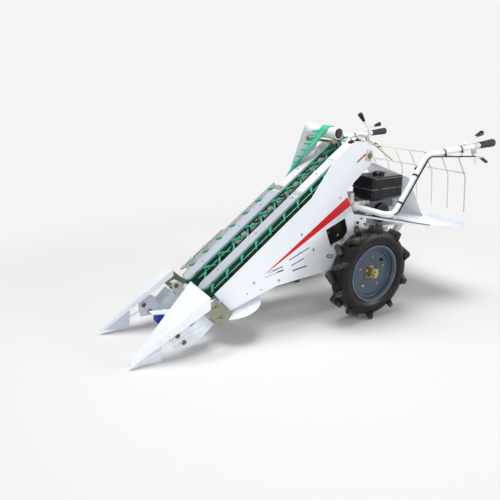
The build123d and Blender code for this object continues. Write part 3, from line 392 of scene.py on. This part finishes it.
def slab(middle, size, turn=(0, 0, 0), soft=1.0, steps=2):  # a block with its edges broken
    unpick()
    bpy.ops.mesh.primitive_cube_add(size=1.0, location=middle, rotation=turn)
    piece = bpy.context.active_object
    piece.scale = Vector(size) / 1000
    bpy.ops.object.transform_apply(location=True, rotation=True, scale=True)
    bpy.ops.object.mode_set(mode="EDIT")
    bpy.ops.mesh.select_all(action="SELECT")
    bpy.ops.mesh.bevel(offset=soft / 1000, segments=steps, affect="EDGES")
    bpy.ops.object.mode_set(mode="OBJECT")
    return piece


def strip(start, end, wide, thick, soft=0.6):  # a bar from one point to another
    run = end - start
    turn = run.to_track_quat("X", "Z").to_euler()
    return slab((start + end) / 2, (run.length * 1000, wide, thick), turn, soft)


def pickCorners(piece, wanted):  # leaves the piece in edit mode with these corners picked
    unpick()
    piece.select_set(True)
    bpy.context.view_layer.objects.active = piece
    bpy.ops.object.mode_set(mode="EDIT")
    bpy.ops.mesh.select_mode(type="VERT")
    bpy.ops.mesh.select_all(action="DESELECT")
    bpy.ops.object.mode_set(mode="OBJECT")
    for corner in piece.data.vertices:
        corner.select = wanted(corner.co)
    bpy.ops.object.mode_set(mode="EDIT")


def wireRing(middle, axis, across, wire, stretch=0.0, pull=(0, 0, -1)):  # a round wire ring, pulled long
    turn = Vector(axis).to_track_quat("Z", "X").to_euler()
    unpick()
    bpy.ops.mesh.primitive_torus_add(location=middle, rotation=turn, major_segments=32, minor_segments=8,
                                     major_radius=across / 2000, minor_radius=wire / 1000)
    ring = bpy.context.active_object
    bpy.ops.object.transform_apply(location=True, rotation=True, scale=True)
    if stretch:
        pickCorners(ring, lambda place: (place - middle).dot(Vector(pull)) > 0)
        bpy.ops.transform.translate(value=Vector(pull) * stretch / 1000)
        bpy.ops.object.mode_set(mode="OBJECT")
    return ring


def joined(pieces):
    unpick()
    for piece in pieces:
        piece.select_set(True)
    bpy.context.view_layer.objects.active = pieces[0]
    bpy.ops.object.join()
    bpy.ops.object.transform_apply(location=True, rotation=True, scale=True)
    return bpy.context.active_object


def settle(piece, name, finish, body="chassis"):
    unpick()
    piece.select_set(True)
    bpy.context.view_layer.objects.active = piece
    bpy.ops.object.transform_apply(location=True, rotation=True, scale=True)
    bpy.ops.object.shade_smooth_by_angle(angle=math.radians(32))
    piece.name = piece.data.name = name
    piece.data.materials.clear()
    piece.data.materials.append(finish.material)
    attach(piece, body)
    return piece


def copyOf(stock, middle, axis, size=1.0, spin=0.0):
    piece = stock.copy()
    piece.data = stock.data.copy()
    bpy.context.scene.collection.objects.link(piece)
    turn = Vector(axis).to_track_quat("Z", "Y") @ Quaternion((0, 0, 1), math.radians(spin))
    piece.matrix_world = Matrix.LocRotScale(Vector(middle), turn, Vector((size,) * 3))
    return piece


def boltStock():  # washer and hexagon head, modelled once at the origin
    washer = turned(Vector(), (0, 0, 1), ((-0.4, 8.2), (1.3, 8.2), (1.8, 7.6)), 24)
    head = turned(Vector(), (0, 0, 1), ((1.2, 6.6), (5.2, 6.6), (6.3, 5.4)), 6)
    return joined([washer, head])


bolt = boltStock()

panelBolts = {
    "large": (0.95, ((111, 690), (377, 515), (293, 414), (523, 275), (685, 293))),
    "small": (0.6, ((726, 240), (640, 243))),
    "face": 203.0,
}
panelSlot = {"at": (158, 203.8, 352), "wide": 15.0, "wire": 2.8, "longer": 26.0, "pull": (1, 0, 0.16)}


def boltPanels():
    for side, hand in ((1, "left"), (-1, "right")):
        face = side * panelBolts["face"]
        heads = []
        for size, spots in (panelBolts["large"], panelBolts["small"]):
            heads += [copyOf(bolt, spot(x, face, z), (0, side, 0), size, x) for x, z in spots]
        settle(joined(heads), "panel_bolts_" + hand, boltGrey)
        x, y, z = panelSlot["at"]
        rim = wireRing(spot(x, side * y, z), (0, 1, 0), panelSlot["wide"], panelSlot["wire"],
                       panelSlot["longer"], panelSlot["pull"])
        settle(rim, "panel_slot_" + hand, boltDark)


caseBolts = {
    "left": (150, 440, 733, 934, 1100), "right": (150, 440, 620, 940, 1099), "side": 90.0, "size": 0.72,
}
caseJoint = {"run": 775, "long": 34.0, "wide": 62.0, "thick": 3.0, "pins": (-18, 18), "pinSize": 0.7}


def boltCases():
    for side, hand in ((1, "left"), (-1, "right")):
        y = side * caseBolts["side"]
        heads = [copyOf(bolt, deckSpot(run, y), deckUp, caseBolts["size"], run) for run in caseBolts[hand]]
        settle(joined(heads), "case_bolts_" + hand, boltGrey)
        run, thick = caseJoint["run"], caseJoint["thick"]
        plate = slab(deckSpot(run, y, thick / 2), (caseJoint["long"], caseJoint["wide"], thick), deckTurn)
        pins = [copyOf(bolt, deckSpot(run, y + aside, thick), deckUp, caseJoint["pinSize"], run)
                for aside in caseJoint["pins"]]
        finish, slot = (caseSilver, "grey_paint") if side > 0 else (rodTan, "rod_tan")
        settle(joined([plate] + pins), "case_joint_" + hand, finish)


beltWires = {  # rows of each belt: distance from the middle, first and last run
    "left": ((143.4, 60, 1150), (36.6, 60, 1150)), "right": ((143.4, 60, 840), (36.6, 60, 1150)),
    "under": -30.0, "thick": 3.0,
}


def wireBelts():
    for side, hand in ((1, "left"), (-1, "right")):
        wires = []
        for y, first, last in beltWires[hand]:
            start, end = (deckSpot(run, side * y, beltWires["under"]) for run in (first, last))
            wires.append(strip(start, end, beltWires["thick"], beltWires["thick"], 0.9))
        settle(joined(wires), "belt_wires_" + hand, wireCream)


# black bars put where the gaps between the tines lie in shade: painted shade
beltShadeBars = {
    "runs": (330, 1130), "pitch": 36.0, "root": 44.0, "tip": 12.0, "under": -22.0, "lean": 24.0,
    "wide": 8.0, "thick": 9.0, "soft": 2.0,
}
beltGuide = {"y": 44.6, "under": -37.0, "wide": 34.0, "thick": 1.6, "soft": 0.5}


def shadeBarBelts():  # black bars that stand in for the shade between the tines, in pairs that lean apart
    first, last = beltShadeBars["runs"]
    count = int((last - first) / beltShadeBars["pitch"])
    for side, hand in ((1, "left"), (-1, "right")):
        shadeBars = []
        for k in range(count):
            run = first + beltShadeBars["pitch"] * k
            lean = beltShadeBars["lean"] * (1 if k % 2 else -1)
            start = deckSpot(run, side * beltShadeBars["root"], beltShadeBars["under"])
            end = deckSpot(run + lean, side * beltShadeBars["tip"], beltShadeBars["under"])
            shadeBars.append(strip(start, end, beltShadeBars["wide"], beltShadeBars["thick"], beltShadeBars["soft"]))
        settle(joined(shadeBars), "belt_shade_bars_" + hand, driveBlack)
        middle = deckSpot((first + last) / 2, side * beltGuide["y"], beltGuide["under"])
        size = (last - first, beltGuide["thick"], beltGuide["wide"])
        guide = slab(middle, size, deckTurn, beltGuide["soft"])
        settle(guide, "belt_guide_" + hand, castCream)


farEdge = {
    "strip": (70, 815), "wide": 46.0, "thick": 4.0, "up": -35.0, "y": -205.0,
    "rod": (40, 380), "rodRadius": 4.6, "rodEnd": 4.0, "blocks": (64, 128, 232), "block": (30, 18, 17),
}


def edgeFarPanel():
    first, last = farEdge["strip"]
    middle = deckSpot((first + last) / 2, farEdge["y"], farEdge["up"])
    sheet = slab(middle, (last - first, farEdge["thick"], farEdge["wide"]), deckTurn, 1.2)
    settle(sheet, "far_edge_strip", sheetWhite)
    top = farEdge["up"] + farEdge["wide"] / 2 + 4
    low, high = farEdge["rod"]
    long, radius, end = high - low, farEdge["rodRadius"], farEdge["rodEnd"]
    y = farEdge["y"] - 1
    rod = turned(deckSpot(low, y, top), deckSpot(high, 0) - deckSpot(low, 0),
                 ((0, end), (1, radius), (long - 1, radius), (long, end)), 16)
    settle(rod, "far_edge_rod", rodTan)
    blocks = []
    for run in farEdge["blocks"]:
        blocks.append(slab(deckSpot(run, y, top - 1), farEdge["block"], deckTurn, 3, 3))
        blocks.append(copyOf(bolt, deckSpot(run, y, top + 7), deckUp, 0.9, run))
    settle(joined(blocks), "far_edge_blocks", castCream)


windowBolts = {"spots": ((122, 530), (168, 486), (96, 462)), "face": 180.1, "size": 1.1}


def boltDriveCase():
    face = windowBolts["face"]
    heads = [copyOf(bolt, spot(x, face, z), (0, 1, 0), windowBolts["size"], x)
             for x, z in windowBolts["spots"]]
    settle(joined(heads), "drive_case_bolts", darkZinc)


wheelTrim = {
    "ring": 92.0, "bolts": 5, "first": 20.0, "face": 368.4, "boltSize": 0.95, "collarFoot": 369.0,
    "collar": ((6, 38.5), (8, 40.0), (26, 40.0), (28, 38.5)),
    "screwOut": 17.0, "screwUp": 26.0, "screw": ((-4, 6), (6, 6), (7.5, 4.5)),
    "valve": 40.0, "valveRing": 98.0, "valveFace": 362.4,
    "stem": ((-2, 12.6), (4.5, 12.6), (5.5, 11.0), (5.6, 5.0), (16, 4.2), (22, 4.0), (22.4, 3.0)),
}


def wheelSpot(ring, degrees, y):  # on a ring about the axle
    a = math.radians(degrees)
    return spot(ring * math.cos(a), y, axle["z"] + ring * math.sin(a))


def trimWheels():
    for side, hand in ((1, "left"), (-1, "right")):
        out, body = (0, side, 0), hand + "_wheel"
        heads = []
        for k in range(wheelTrim["bolts"]):
            degrees = wheelTrim["first"] + 360 / wheelTrim["bolts"] * k
            place = wheelSpot(wheelTrim["ring"], degrees, side * wheelTrim["face"])
            heads.append(copyOf(bolt, place, out, wheelTrim["boltSize"], 40 * k))
        settle(joined(heads), "rim_bolts_" + hand, yellowZinc, body)
        foot = spot(0, side * wheelTrim["collarFoot"], axle["z"])
        collar = turned(foot, out, wheelTrim["collar"], 4, 28)
        seat = foot + Vector((0.0, side * wheelTrim["screwOut"], wheelTrim["screwUp"])) / 1000
        screw = turned(seat, (0, 0, 1), wheelTrim["screw"], 6)
        settle(joined([collar, screw]), "hub_collar_" + hand, yellowZinc, body)
        hole = wheelSpot(wheelTrim["valveRing"], 180 - wheelTrim["valve"], side * wheelTrim["valveFace"])
        stem = turned(hole, out, wheelTrim["stem"], 20)
        settle(stem, "valve_stem_" + hand, tankBlack, body)


rollerCaps = {
    "spots": ((1152, 119), (1119, 75)), "faces": (237.9, 212.1),
    "profile": ((-1, 12.8), (2, 12.8), (3.4, 11.2), (3.5, 8.6), (2.6, 8.2)),
}


def capRollers():
    for side, hand in ((1, "left"), (-1, "right")):
        caps = []
        for x, z in rollerCaps["spots"]:
            for face, out in zip(rollerCaps["faces"], (side, -side)):
                foot = spot(x, side * face, z)
                caps.append(turned(foot, (0, out, 0), rollerCaps["profile"], 28))
                caps.append(copyOf(bolt, foot + Vector((0, out * 0.0022, 0)), (0, out, 0), 0.9, x))
        settle(joined(caps), "roller_caps_" + hand, darkZinc)


bracketBolts = {
    "side": (984, 226), "faces": (173.1, 136.9), "front": ((1008, 216), (1008, 237)), "rows": (146, 164),
}


def boltBrackets():
    for side, hand in ((1, "left"), (-1, "right")):
        x, z = bracketBolts["side"]
        heads = [copyOf(bolt, spot(x, side * y, z), (0, out, 0), 1.55, 12)
                 for y, out in zip(bracketBolts["faces"], (side, -side))]
        heads += [copyOf(bolt, spot(x, side * y, z), (1, 0, 0), 0.8, 20)
                  for x, z in bracketBolts["front"] for y in bracketBolts["rows"]]
        settle(joined(heads), "bracket_bolts_" + hand, darkZinc)


coverBearing = {
    "at": (-86, 912), "face": 203.0, "lean": math.radians(-12.0),
    "plates": ((2.4, (44, 5, 66), 2.0), (6.5, (34, 6, 54), 2.4)),  # proud of the face, size, edge
    "core": ((0, 17), (5, 17), (6.5, 15.5), (6.6, 9), (4, 8.6)), "pair": (-22, 22),
}


def bearCover():
    x, z = coverBearing["at"]
    face, lean = coverBearing["face"], coverBearing["lean"]
    plates = [slab(spot(x, face + proud, z), size, (0, lean, 0), soft, 3)
              for proud, size, soft in coverBearing["plates"]]
    settle(joined(plates), "cover_bearing", castCream)
    core = turned(spot(x, face + 8, z), (0, 1, 0), coverBearing["core"], 32)
    nut = copyOf(bolt, spot(x, face + 11, z), (0, 1, 0), 1.25, 18)
    settle(joined([core, nut]), "cover_bearing_core", darkZinc)
    pair = []
    for r in coverBearing["pair"]:
        place = spot(x + r * math.sin(lean), face + 9.2, z + r * math.cos(lean))
        pair.append(copyOf(bolt, place, (0, 1, 0), 0.7))
    settle(joined(pair), "cover_bearing_bolts", boltGrey)


tankMount = {
    "y": 182.0, "tube": (-12, 623), "clamp": ((0, 24), (2, 26), (38, 26), (40, 24)),
    "post": (8, 646), "postShape": ((0, 17), (4, 14), (40, 12), (44, 15), (54, 15), (56, 13)),
    "boss": (-70, 640), "bossShape": ((-6, 13), (4, 13), (6, 11)), "arm": (-52, 642), "web": (-40, 630),
}


def mountTank():
    y = tankMount["y"]
    tubeX, tubeZ = tankMount["tube"]
    postX, postZ = tankMount["post"]
    bossX, bossZ = tankMount["boss"]
    armX, armZ = tankMount["arm"]
    webX, webZ = tankMount["web"]
    clamp = turned(spot(tubeX, y - 20, tubeZ), (0, 1, 0), tankMount["clamp"], 32)
    ear = slab(spot(tubeX + 22, y, tubeZ + 16), (30, 30, 22), (0, math.radians(-24), 0), 3, 3)
    arm = slab(spot(armX, y, armZ), (128, 42, 13), (0, 0, 0), 3, 3)
    web = slab(spot(webX, y, webZ), (70, 12, 22), (0, math.radians(8), 0), 2, 2)
    post = turned(spot(postX, y, postZ), (0, 0, 1), tankMount["postShape"], 24)
    boss = turned(spot(bossX, y + 24, bossZ), (0, 1, 0), tankMount["bossShape"], 24)
    settle(joined([clamp, ear, arm, web, post, boss]), "tank_mount", castCream)
    heads = [copyOf(bolt, spot(bossX, y + 30, bossZ), (0, 1, 0), 1.0, 10),
             copyOf(bolt, spot(postX, y, postZ + 56), (0, 0, 1), 1.2),
             copyOf(bolt, spot(tubeX + 25, y + 15, tubeZ + 18), (0, 1, 0), 1.0, 25),
             copyOf(bolt, spot(webX, y + 12, armZ + 6.4), (0, 0, 1), 0.9)]
    settle(joined(heads), "tank_mount_bolts", boltGrey)


guardPlate = {
    "from": (2.0, 206.0, 585.0), "to": (-460.0, 372.0, 487.0), "long": 84.0, "deep": 92.0, "top": 573.0,
    "bolts": ((-18, 2, 1.1), (4, 24, 0.7), (24, -8, 0.7)),  # along, up, size
}


def hangGuardPlate():
    start, end = spot(*guardPlate["from"]), spot(*guardPlate["to"])
    way = Vector((end.x - start.x, end.y - start.y, 0)).normalized()
    out = Vector((way.y, -way.x, 0))
    middle = start + way * (guardPlate["long"] / 2000 + 0.002) - out * 0.0056
    middle.z = (guardPlate["top"] - guardPlate["deep"] / 2) / 1000
    heading = (0, 0, math.atan2(way.y, way.x))
    plate = slab(middle, (guardPlate["long"], 4, guardPlate["deep"]), heading, 0.6, 2)
    low = min(v.co.z for v in plate.data.vertices)
    pickCorners(plate, lambda place: place.z < low + 0.002)
    foot = middle - Vector((0, 0, guardPlate["deep"] / 2000))
    bpy.ops.transform.resize(value=(0.5, 0.5, 1), center_override=foot)
    bpy.ops.object.mode_set(mode="OBJECT")
    settle(plate, "guard_plate", sheetWhite)
    heads = [copyOf(bolt, middle + way * along / 1000 + Vector((0, 0, up / 1000)) + out * 0.002, out, size)
             for along, up, size in guardPlate["bolts"]]
    settle(joined(heads), "guard_plate_bolts", boltDark)
    # a dark strip along the tray's rim stands in for the shadowed gap there: painted shade
    lift = out * 0.0006 + Vector((0, 0, 0.0008))
    shadowStrip = strip(start + lift, end + lift, 3.4, 5.0)
    settle(shadowStrip, "guard_shadow_strip", darkTrimAndShade)


handleBar = {"side": 446.0, "low": (-73, 628), "knee": (-287, 925), "end": (-854, 961)}


def barSpot(x, side):  # a point on the bar's middle line, and the way that the bar runs there
    first, last = ("low", "knee") if x > handleBar["knee"][0] else ("knee", "end")
    (x0, z0), (x1, z1) = handleBar[first], handleBar[last]
    z = z0 + (x - x0) / (x1 - x0) * (z1 - z0)
    return spot(x, side * handleBar["side"], z), Vector((x1 - x0, 0, z1 - z0)).normalized()


barClips = {
    "spots": (-109, -211, -420, -560), "band": ((0, 18.6), (0.8, 19.4), (9.2, 19.4), (10, 18.6)),
    "block": (9, 7, 11), "aside": 20.6, "below": 14.0,
}


def clipCables():
    for side, hand in ((1, "left"), (-1, "right")):
        clips = []
        for x in barClips["spots"]:
            middle, way = barSpot(x, side)
            clips.append(turned(middle - way * 0.005, way, barClips["band"], 32))
            low = 0.0 if x > handleBar["knee"][0] else -barClips["below"]
            beside = middle + Vector((0, side * barClips["aside"], low)) / 1000
            clips.append(slab(beside, barClips["block"], (0, 0, 0), 1.2))
        settle(joined(clips), "cable_clips_" + hand, darkTrimAndShade)


gripShape = {
    "way": (-0.998, 0.0634), "ribs": (-108, -14, 9), "thin": 18.9, "thicker": 4.0, "taper": 110.0,
    "rib": ((-2.6, 0.0), (-1.2, 0.9), (1.2, 0.9), (2.6, 0.0)),
    "profile": ((-130, 18.4), (-129, 19.4), (-122, 19.6), (-121, 18.6), (-112, 18.8), (-100, 19.2),
                (-70, 20.2), (-40, 21.4), (-16, 22.6), (-8, 23.2), (-3, 23.4), (1, 22.6), (3, 20.0),
                (3.4, 16.0)),
}


def wrapGrips():
    sleeves = []
    x, z = handleBar["end"]
    way = Vector((gripShape["way"][0], 0, gripShape["way"][1])).normalized()
    first, last, count = gripShape["ribs"]
    for side in (1, -1):
        end = spot(x, side * handleBar["side"], z)
        sleeves.append(turned(end, way, gripShape["profile"], 40))
        for k in range(count):
            at = first + (last - first) * k / (count - 1)
            thick = gripShape["thin"] + (at + gripShape["taper"]) / gripShape["taper"] * gripShape["thicker"]
            rib = [(at + along, thick + proud) for along, proud in gripShape["rib"]]
            sleeves.append(turned(end, way, rib, 40))
    piece = settle(joined(sleeves), "grip_sleeves", gripGrey)
    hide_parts("grips")


handControls = {
    "brakePivot": -690, "brakeBand": ((0, 19), (1, 20.2), (25, 20.2), (26, 19)), "lug": (26, 24, 26),
    "clutchFeet": {1: -585, -1: -655}, "clutchBand": ((0, 18.4), (1, 19.6), (23, 19.6), (24, 18.4)),
    "block": (22, 14, 12), "tip": ((-762, 878.5), (-820, 846.5)), "tipSize": (21, 15, 4.5),
    "ring": (-712, 881), "ringSize": (20, 1.6, 20),
}


def fitControls():
    for side, hand in ((1, "left"), (-1, "right")):
        y = side * handleBar["side"]
        pivot, way = barSpot(handControls["brakePivot"], side)
        band = turned(pivot - way * 0.013, way, handControls["brakeBand"], 32)
        lug = slab(pivot + Vector((0.001, 0, -0.030)), handControls["lug"], (0, 0, 0), 4, 3)
        settle(joined([band, lug]), "brake_pivot_" + hand, castCream)
        pins = [copyOf(bolt, pivot + Vector((0.001, out * 0.012, -0.032)), (0, out, 0), 0.9)
                for out in (1, -1)]
        foot, way = barSpot(handControls["clutchFeet"][side], side)
        collar = turned(foot - way * 0.012, way, handControls["clutchBand"], 32)
        block = slab(foot + Vector((0, 0, 0.021)), handControls["block"], (0, 0, 0), 3, 3)
        settle(joined([collar, block]), "clutch_foot_" + hand, sheetWhite)
        pins += [copyOf(bolt, foot + Vector((0, out * 0.007, 0.021)), (0, out, 0), 0.8) for out in (1, -1)]
        settle(joined(pins), "control_pins_" + hand, boltGrey)
        start, end = (spot(x, y, z) for x, z in handControls["tip"])
        tip = strip(start, end, *handControls["tipSize"])
        settle(tip, "brake_tip_" + hand, tankBlack)
        x, z = handControls["ring"]
        ring = wireRing(spot(x, y, z), (0, 1, 0), *handControls["ringSize"])
        settle(ring, "brake_ring_" + hand, wireCream)


coverPads = {  # rows: place, lean in degrees, length
    "rows": ((22, 988.0, -13.0, 30), (-28, 992.0, 6.0, 26)), "y": 170.0, "wide": 26.0, "thick": 11.0,
    "stud": ((0, 6), (5, 6), (7, 4)),
}


def padCover():
    pads = []
    for x, z, lean, long in coverPads["rows"]:
        y, size = coverPads["y"], (long, coverPads["wide"], coverPads["thick"])
        pads.append(slab(spot(x, y, z + 5), size, (0, math.radians(-lean), 0), 3, 3))
        pads.append(turned(spot(x, y, z + 9), (0, 0, 1), coverPads["stud"], 12))
    settle(joined(pads), "cover_pads", tankBlack)


rackClip = {"at": (-244, 854), "y": 424.6, "profile": ((-3, 26), (-2, 27), (4, 27), (5, 26))}


def clipRack():
    x, z = rackClip["at"]
    for side, hand in ((1, "left"), (-1, "right")):
        fin = turned(spot(x, side * rackClip["y"], z), (0, side, 0), rackClip["profile"], 3, -36)
        settle(fin, "rack_clip_" + hand, tankBlack)


pipeTrim = {
    "rod": (42, 980.5), "plate": ((130, 740), (90, 720), (60, 930), (20, 1068)), "plateFace": -203,
    "nuts": (  # place along the rod, profile, corners, spin
        (46, ((0, 12.5), (1.5, 14), (10, 14), (11.5, 12.5)), 6, 10),
        (57.5, ((0, 11), (2.4, 11), (3.2, 10)), 24, 0),
        (-196.6, ((0, 15), (3, 15), (3.5, 12.5), (14, 12.5), (15, 11)), 6, 22),
        (-120, ((0, 11), (1, 12), (22, 12), (23, 11)), 24, 0),
    ),
}


def nutPipeRod():
    x, z = pipeTrim["rod"]
    nuts = [turned(spot(x, y, z), (0, 1, 0), profile, corners, spin)
            for y, profile, corners, spin in pipeTrim["nuts"]]
    settle(joined(nuts), "top_rod_nuts", yellowZinc)
    face = pipeTrim["plateFace"]
    heads = [copyOf(bolt, spot(x, face, z), (0, -1, 0), 1.0, x) for x, z in pipeTrim["plate"]]
    settle(joined(heads), "pipe_bracket_bolts", boltGrey)


engineTrim = {
    "x": -210, "cowl": (194.6, 619, (226, 6, 52)),
    "cowlBolts": ((-100, -15), (-100, 12), (100, -15), (100, 12)),
    "recoil": (220.1, 564), "ribs": 12, "rib": (22, 40),
    "handle": (46, 14, 15), "rope": ((0, 3), (16, 3), (30, 4)),
    "hub": ((0, 15), (2.4, 15), (3.6, 13.6), (3.8, 7), (2.8, 6)),
    "stub": ((-2, 14), (26, 14), (28, 13), (28.2, 11), (10, 10.6)),
    "plug": ((-2, 9), (6, 9), (6.5, 6), (16, 6), (17, 10), (34, 9), (38, 6)),
}


def dressEngine():
    x = engineTrim["x"]
    y, z, size = engineTrim["cowl"]
    cowl = slab(spot(x, y, z), size, (0, 0, 0), 2.4, 3)
    lip = slab(spot(x, y - 12, z + 24.4), (size[0], 28, 3), (0, 0, 0), 1.0)
    settle(joined([cowl, lip]), "engine_cowl", cowlGrey)
    heads = [copyOf(bolt, spot(x + ahead, y + 2.8, z + up), (0, 1, 0), 0.8)
             for ahead, up in engineTrim["cowlBolts"]]
    settle(joined(heads), "cowl_bolts", boltGrey)
    y, z = engineTrim["recoil"]
    ribs = []
    for k in range(engineTrim["ribs"]):
        a = 2 * math.pi * k / engineTrim["ribs"]
        start, end = (spot(x + r * math.cos(a), y, z + r * math.sin(a)) for r in engineTrim["rib"])
        ribs.append(strip(start, end, 3.4, 1.6, 0.5))
    hub = turned(spot(x, y - 0.5, z), (0, 1, 0), engineTrim["hub"], 32)
    settle(joined(ribs + [hub]), "recoil_ribs", cowlGrey)
    handle = slab(spot(x + 74, 214, 590), engineTrim["handle"], (0, math.radians(-20), 0), 4, 3)
    rope = turned(spot(x + 42, 212, 580), (32, 2, 10), engineTrim["rope"], 12)
    settle(joined([handle, rope]), "recoil_pull", tankBlack)
    stub = turned(spot(x - 75, 11, 628), (-1, 0, 0), engineTrim["stub"], 28)
    settle(stub, "exhaust_stub", brightSteel)
    plug = turned(spot(x - 72, 125, 612), (-1, 0, 0.2), engineTrim["plug"], 20)
    settle(plug, "spark_plug_cap", tankBlack)


tankTrim = {
    "cap": (-208, 166.5, 804), "ribs": 18, "ribRing": 34.0, "rib": (4, 5.4, 12),
    "crown": ((-0.6, 26), (1.6, 26), (2.4, 24.8), (2.5, 20), (1.4, 19)),
    "tabs": (-70, 70), "tabAt": (257, 719), "tab": (22, 9, 5),
}


def trimTank():
    x, y, z = tankTrim["cap"]
    ribs = []
    for k in range(tankTrim["ribs"]):
        a = 2 * math.pi * k / tankTrim["ribs"]
        place = spot(x + tankTrim["ribRing"] * math.cos(a), y + tankTrim["ribRing"] * math.sin(a), z - 9)
        ribs.append(slab(place, tankTrim["rib"], (0, 0, a)))
    crown = turned(spot(x, y, z), (0, 0, 1), tankTrim["crown"], 40)
    settle(joined(ribs + [crown]), "fuel_cap_ribs", tankBlack)
    y, z = tankTrim["tabAt"]
    tabs = [slab(spot(x + aside, y, z), tankTrim["tab"], (0, 0, 0), 1.2) for aside in tankTrim["tabs"]]
    heads = [copyOf(bolt, spot(x + aside, y + 1, z + 2.2), (0, 0, 1), 0.6) for aside in tankTrim["tabs"]]
    settle(joined(tabs + heads), "tank_tabs", tankBlack)


boltPanels()
boltCases()
wireBelts()
shadeBarBelts()
edgeFarPanel()
boltDriveCase()
trimWheels()
capRollers()
boltBrackets()
bearCover()
mountTank()
hangGuardPlate()
clipCables()
wrapGrips()
fitControls()
padCover()
clipRack()
nutPipeRod()
dressEngine()
trimTank()
bpy.data.objects.remove(bolt)
print("small pieces added")

stageSet = {
    "radius": 7.0, "level": -0.0006, "clear": (1.35, 3.0), "albedo": 0.715, "pale": 0.905, "fill": 0.29,
}


def paleFloor():
    unpick()
    bpy.ops.mesh.primitive_circle_add(vertices=96, radius=stageSet["radius"], fill_type="NGON",
                                      location=(0, 0, stageSet["level"]))
    floor = bpy.context.active_object
    floor.name = "floor"
    f = Finish("paleFloor", Roughness=0.9, Specular_IOR_Level=0.1)
    f.shader.inputs["Base Color"].default_value = rgb(*(stageSet["albedo"],) * 3)
    away = (f.x * f.x + f.y * f.y) ** 0.5
    clear = f.node("ShaderNodeBsdfTransparent", {}, {})
    lit = Term(f, f.shader.outputs[0])
    shown = f.node("ShaderNodeMixShader", {}, {0: away.fade(*stageSet["clear"]), 1: lit, 2: clear})
    end = next(n for n in f.tree.nodes if n.type == "OUTPUT_MATERIAL")
    f.tree.links.new(shown.out, end.inputs["Surface"])
    floor.data.materials.append(f.material)


lamps = {
    "overhead": {"spot": (0.2, -0.7, 6.5), "aim": (0.0, 0.0, 0.4), "size": 4.2, "watts": 400.0},
    "front": {"spot": (5.6, 6.6, 2.2), "aim": (0.1, 0.0, 0.6), "size": 3.4, "watts": 312.0},
    "rear": {"spot": (-5.6, 6.0, 2.4), "aim": (-0.3, 0.0, 0.6), "size": 3.4, "watts": 300.0},
}


def softLamps():
    for name, lamp in lamps.items():
        data = bpy.data.lights.new(name, "AREA")
        data.shape, data.size, data.energy = "DISK", lamp["size"], lamp["watts"]
        light = bpy.data.objects.new(name, data)
        bpy.context.scene.collection.objects.link(light)
        light.location = lamp["spot"]
        aim = Vector(lamp["aim"]) - Vector(lamp["spot"])
        light.rotation_mode = "QUATERNION"
        light.rotation_quaternion = aim.to_track_quat("-Z", "Y")


def paleWorld():
    world = bpy.data.worlds.new("studio")
    world.use_nodes = True
    tree = world.node_tree
    sky = tree.nodes["Background"]
    seen = tree.nodes.new("ShaderNodeLightPath")
    shown = seen.outputs["Is Camera Ray"]
    for ray in ("Is Glossy Ray", "Is Transmission Ray"):
        most = tree.nodes.new("ShaderNodeMath")
        most.operation = "MAXIMUM"
        tree.links.new(shown, most.inputs[0])
        tree.links.new(seen.outputs[ray], most.inputs[1])
        shown = most.outputs[0]
    level = tree.nodes.new("ShaderNodeMapRange")
    level.inputs["To Min"].default_value = stageSet["fill"]
    level.inputs["To Max"].default_value = stageSet["pale"]
    tree.links.new(shown, level.inputs["Value"])
    sky.inputs["Color"].default_value = rgb(1.0, 1.0, 1.0)
    tree.links.new(level.outputs["Result"], sky.inputs["Strength"])
    bpy.context.scene.world = world


view = {  # the photograph's camera, angles in degrees
    "spot": (1.8713, 2.5055, 1.3375), "heading": -121.922, "pitch": -17.521, "lens": 39.46, "sensor": 36.0,
}


def photoCamera():
    data = bpy.data.cameras.new("photoCamera")
    data.lens, data.sensor_width, data.sensor_fit = view["lens"], view["sensor"], "HORIZONTAL"
    camera = bpy.data.objects.new("photoCamera", data)
    bpy.context.scene.collection.objects.link(camera)
    heading, pitch = math.radians(view["heading"]), math.radians(view["pitch"])
    level = math.cos(pitch)
    ahead = Vector((level * math.cos(heading), level * math.sin(heading), math.sin(pitch)))
    camera.location = view["spot"]
    camera.rotation_mode = "QUATERNION"
    camera.rotation_quaternion = ahead.to_track_quat("-Z", "Y")
    bpy.context.scene.camera = camera


paleFloor()
softLamps()
paleWorld()
photoCamera()
bpy.context.scene.view_settings.view_transform = "Standard"
print("stage set")
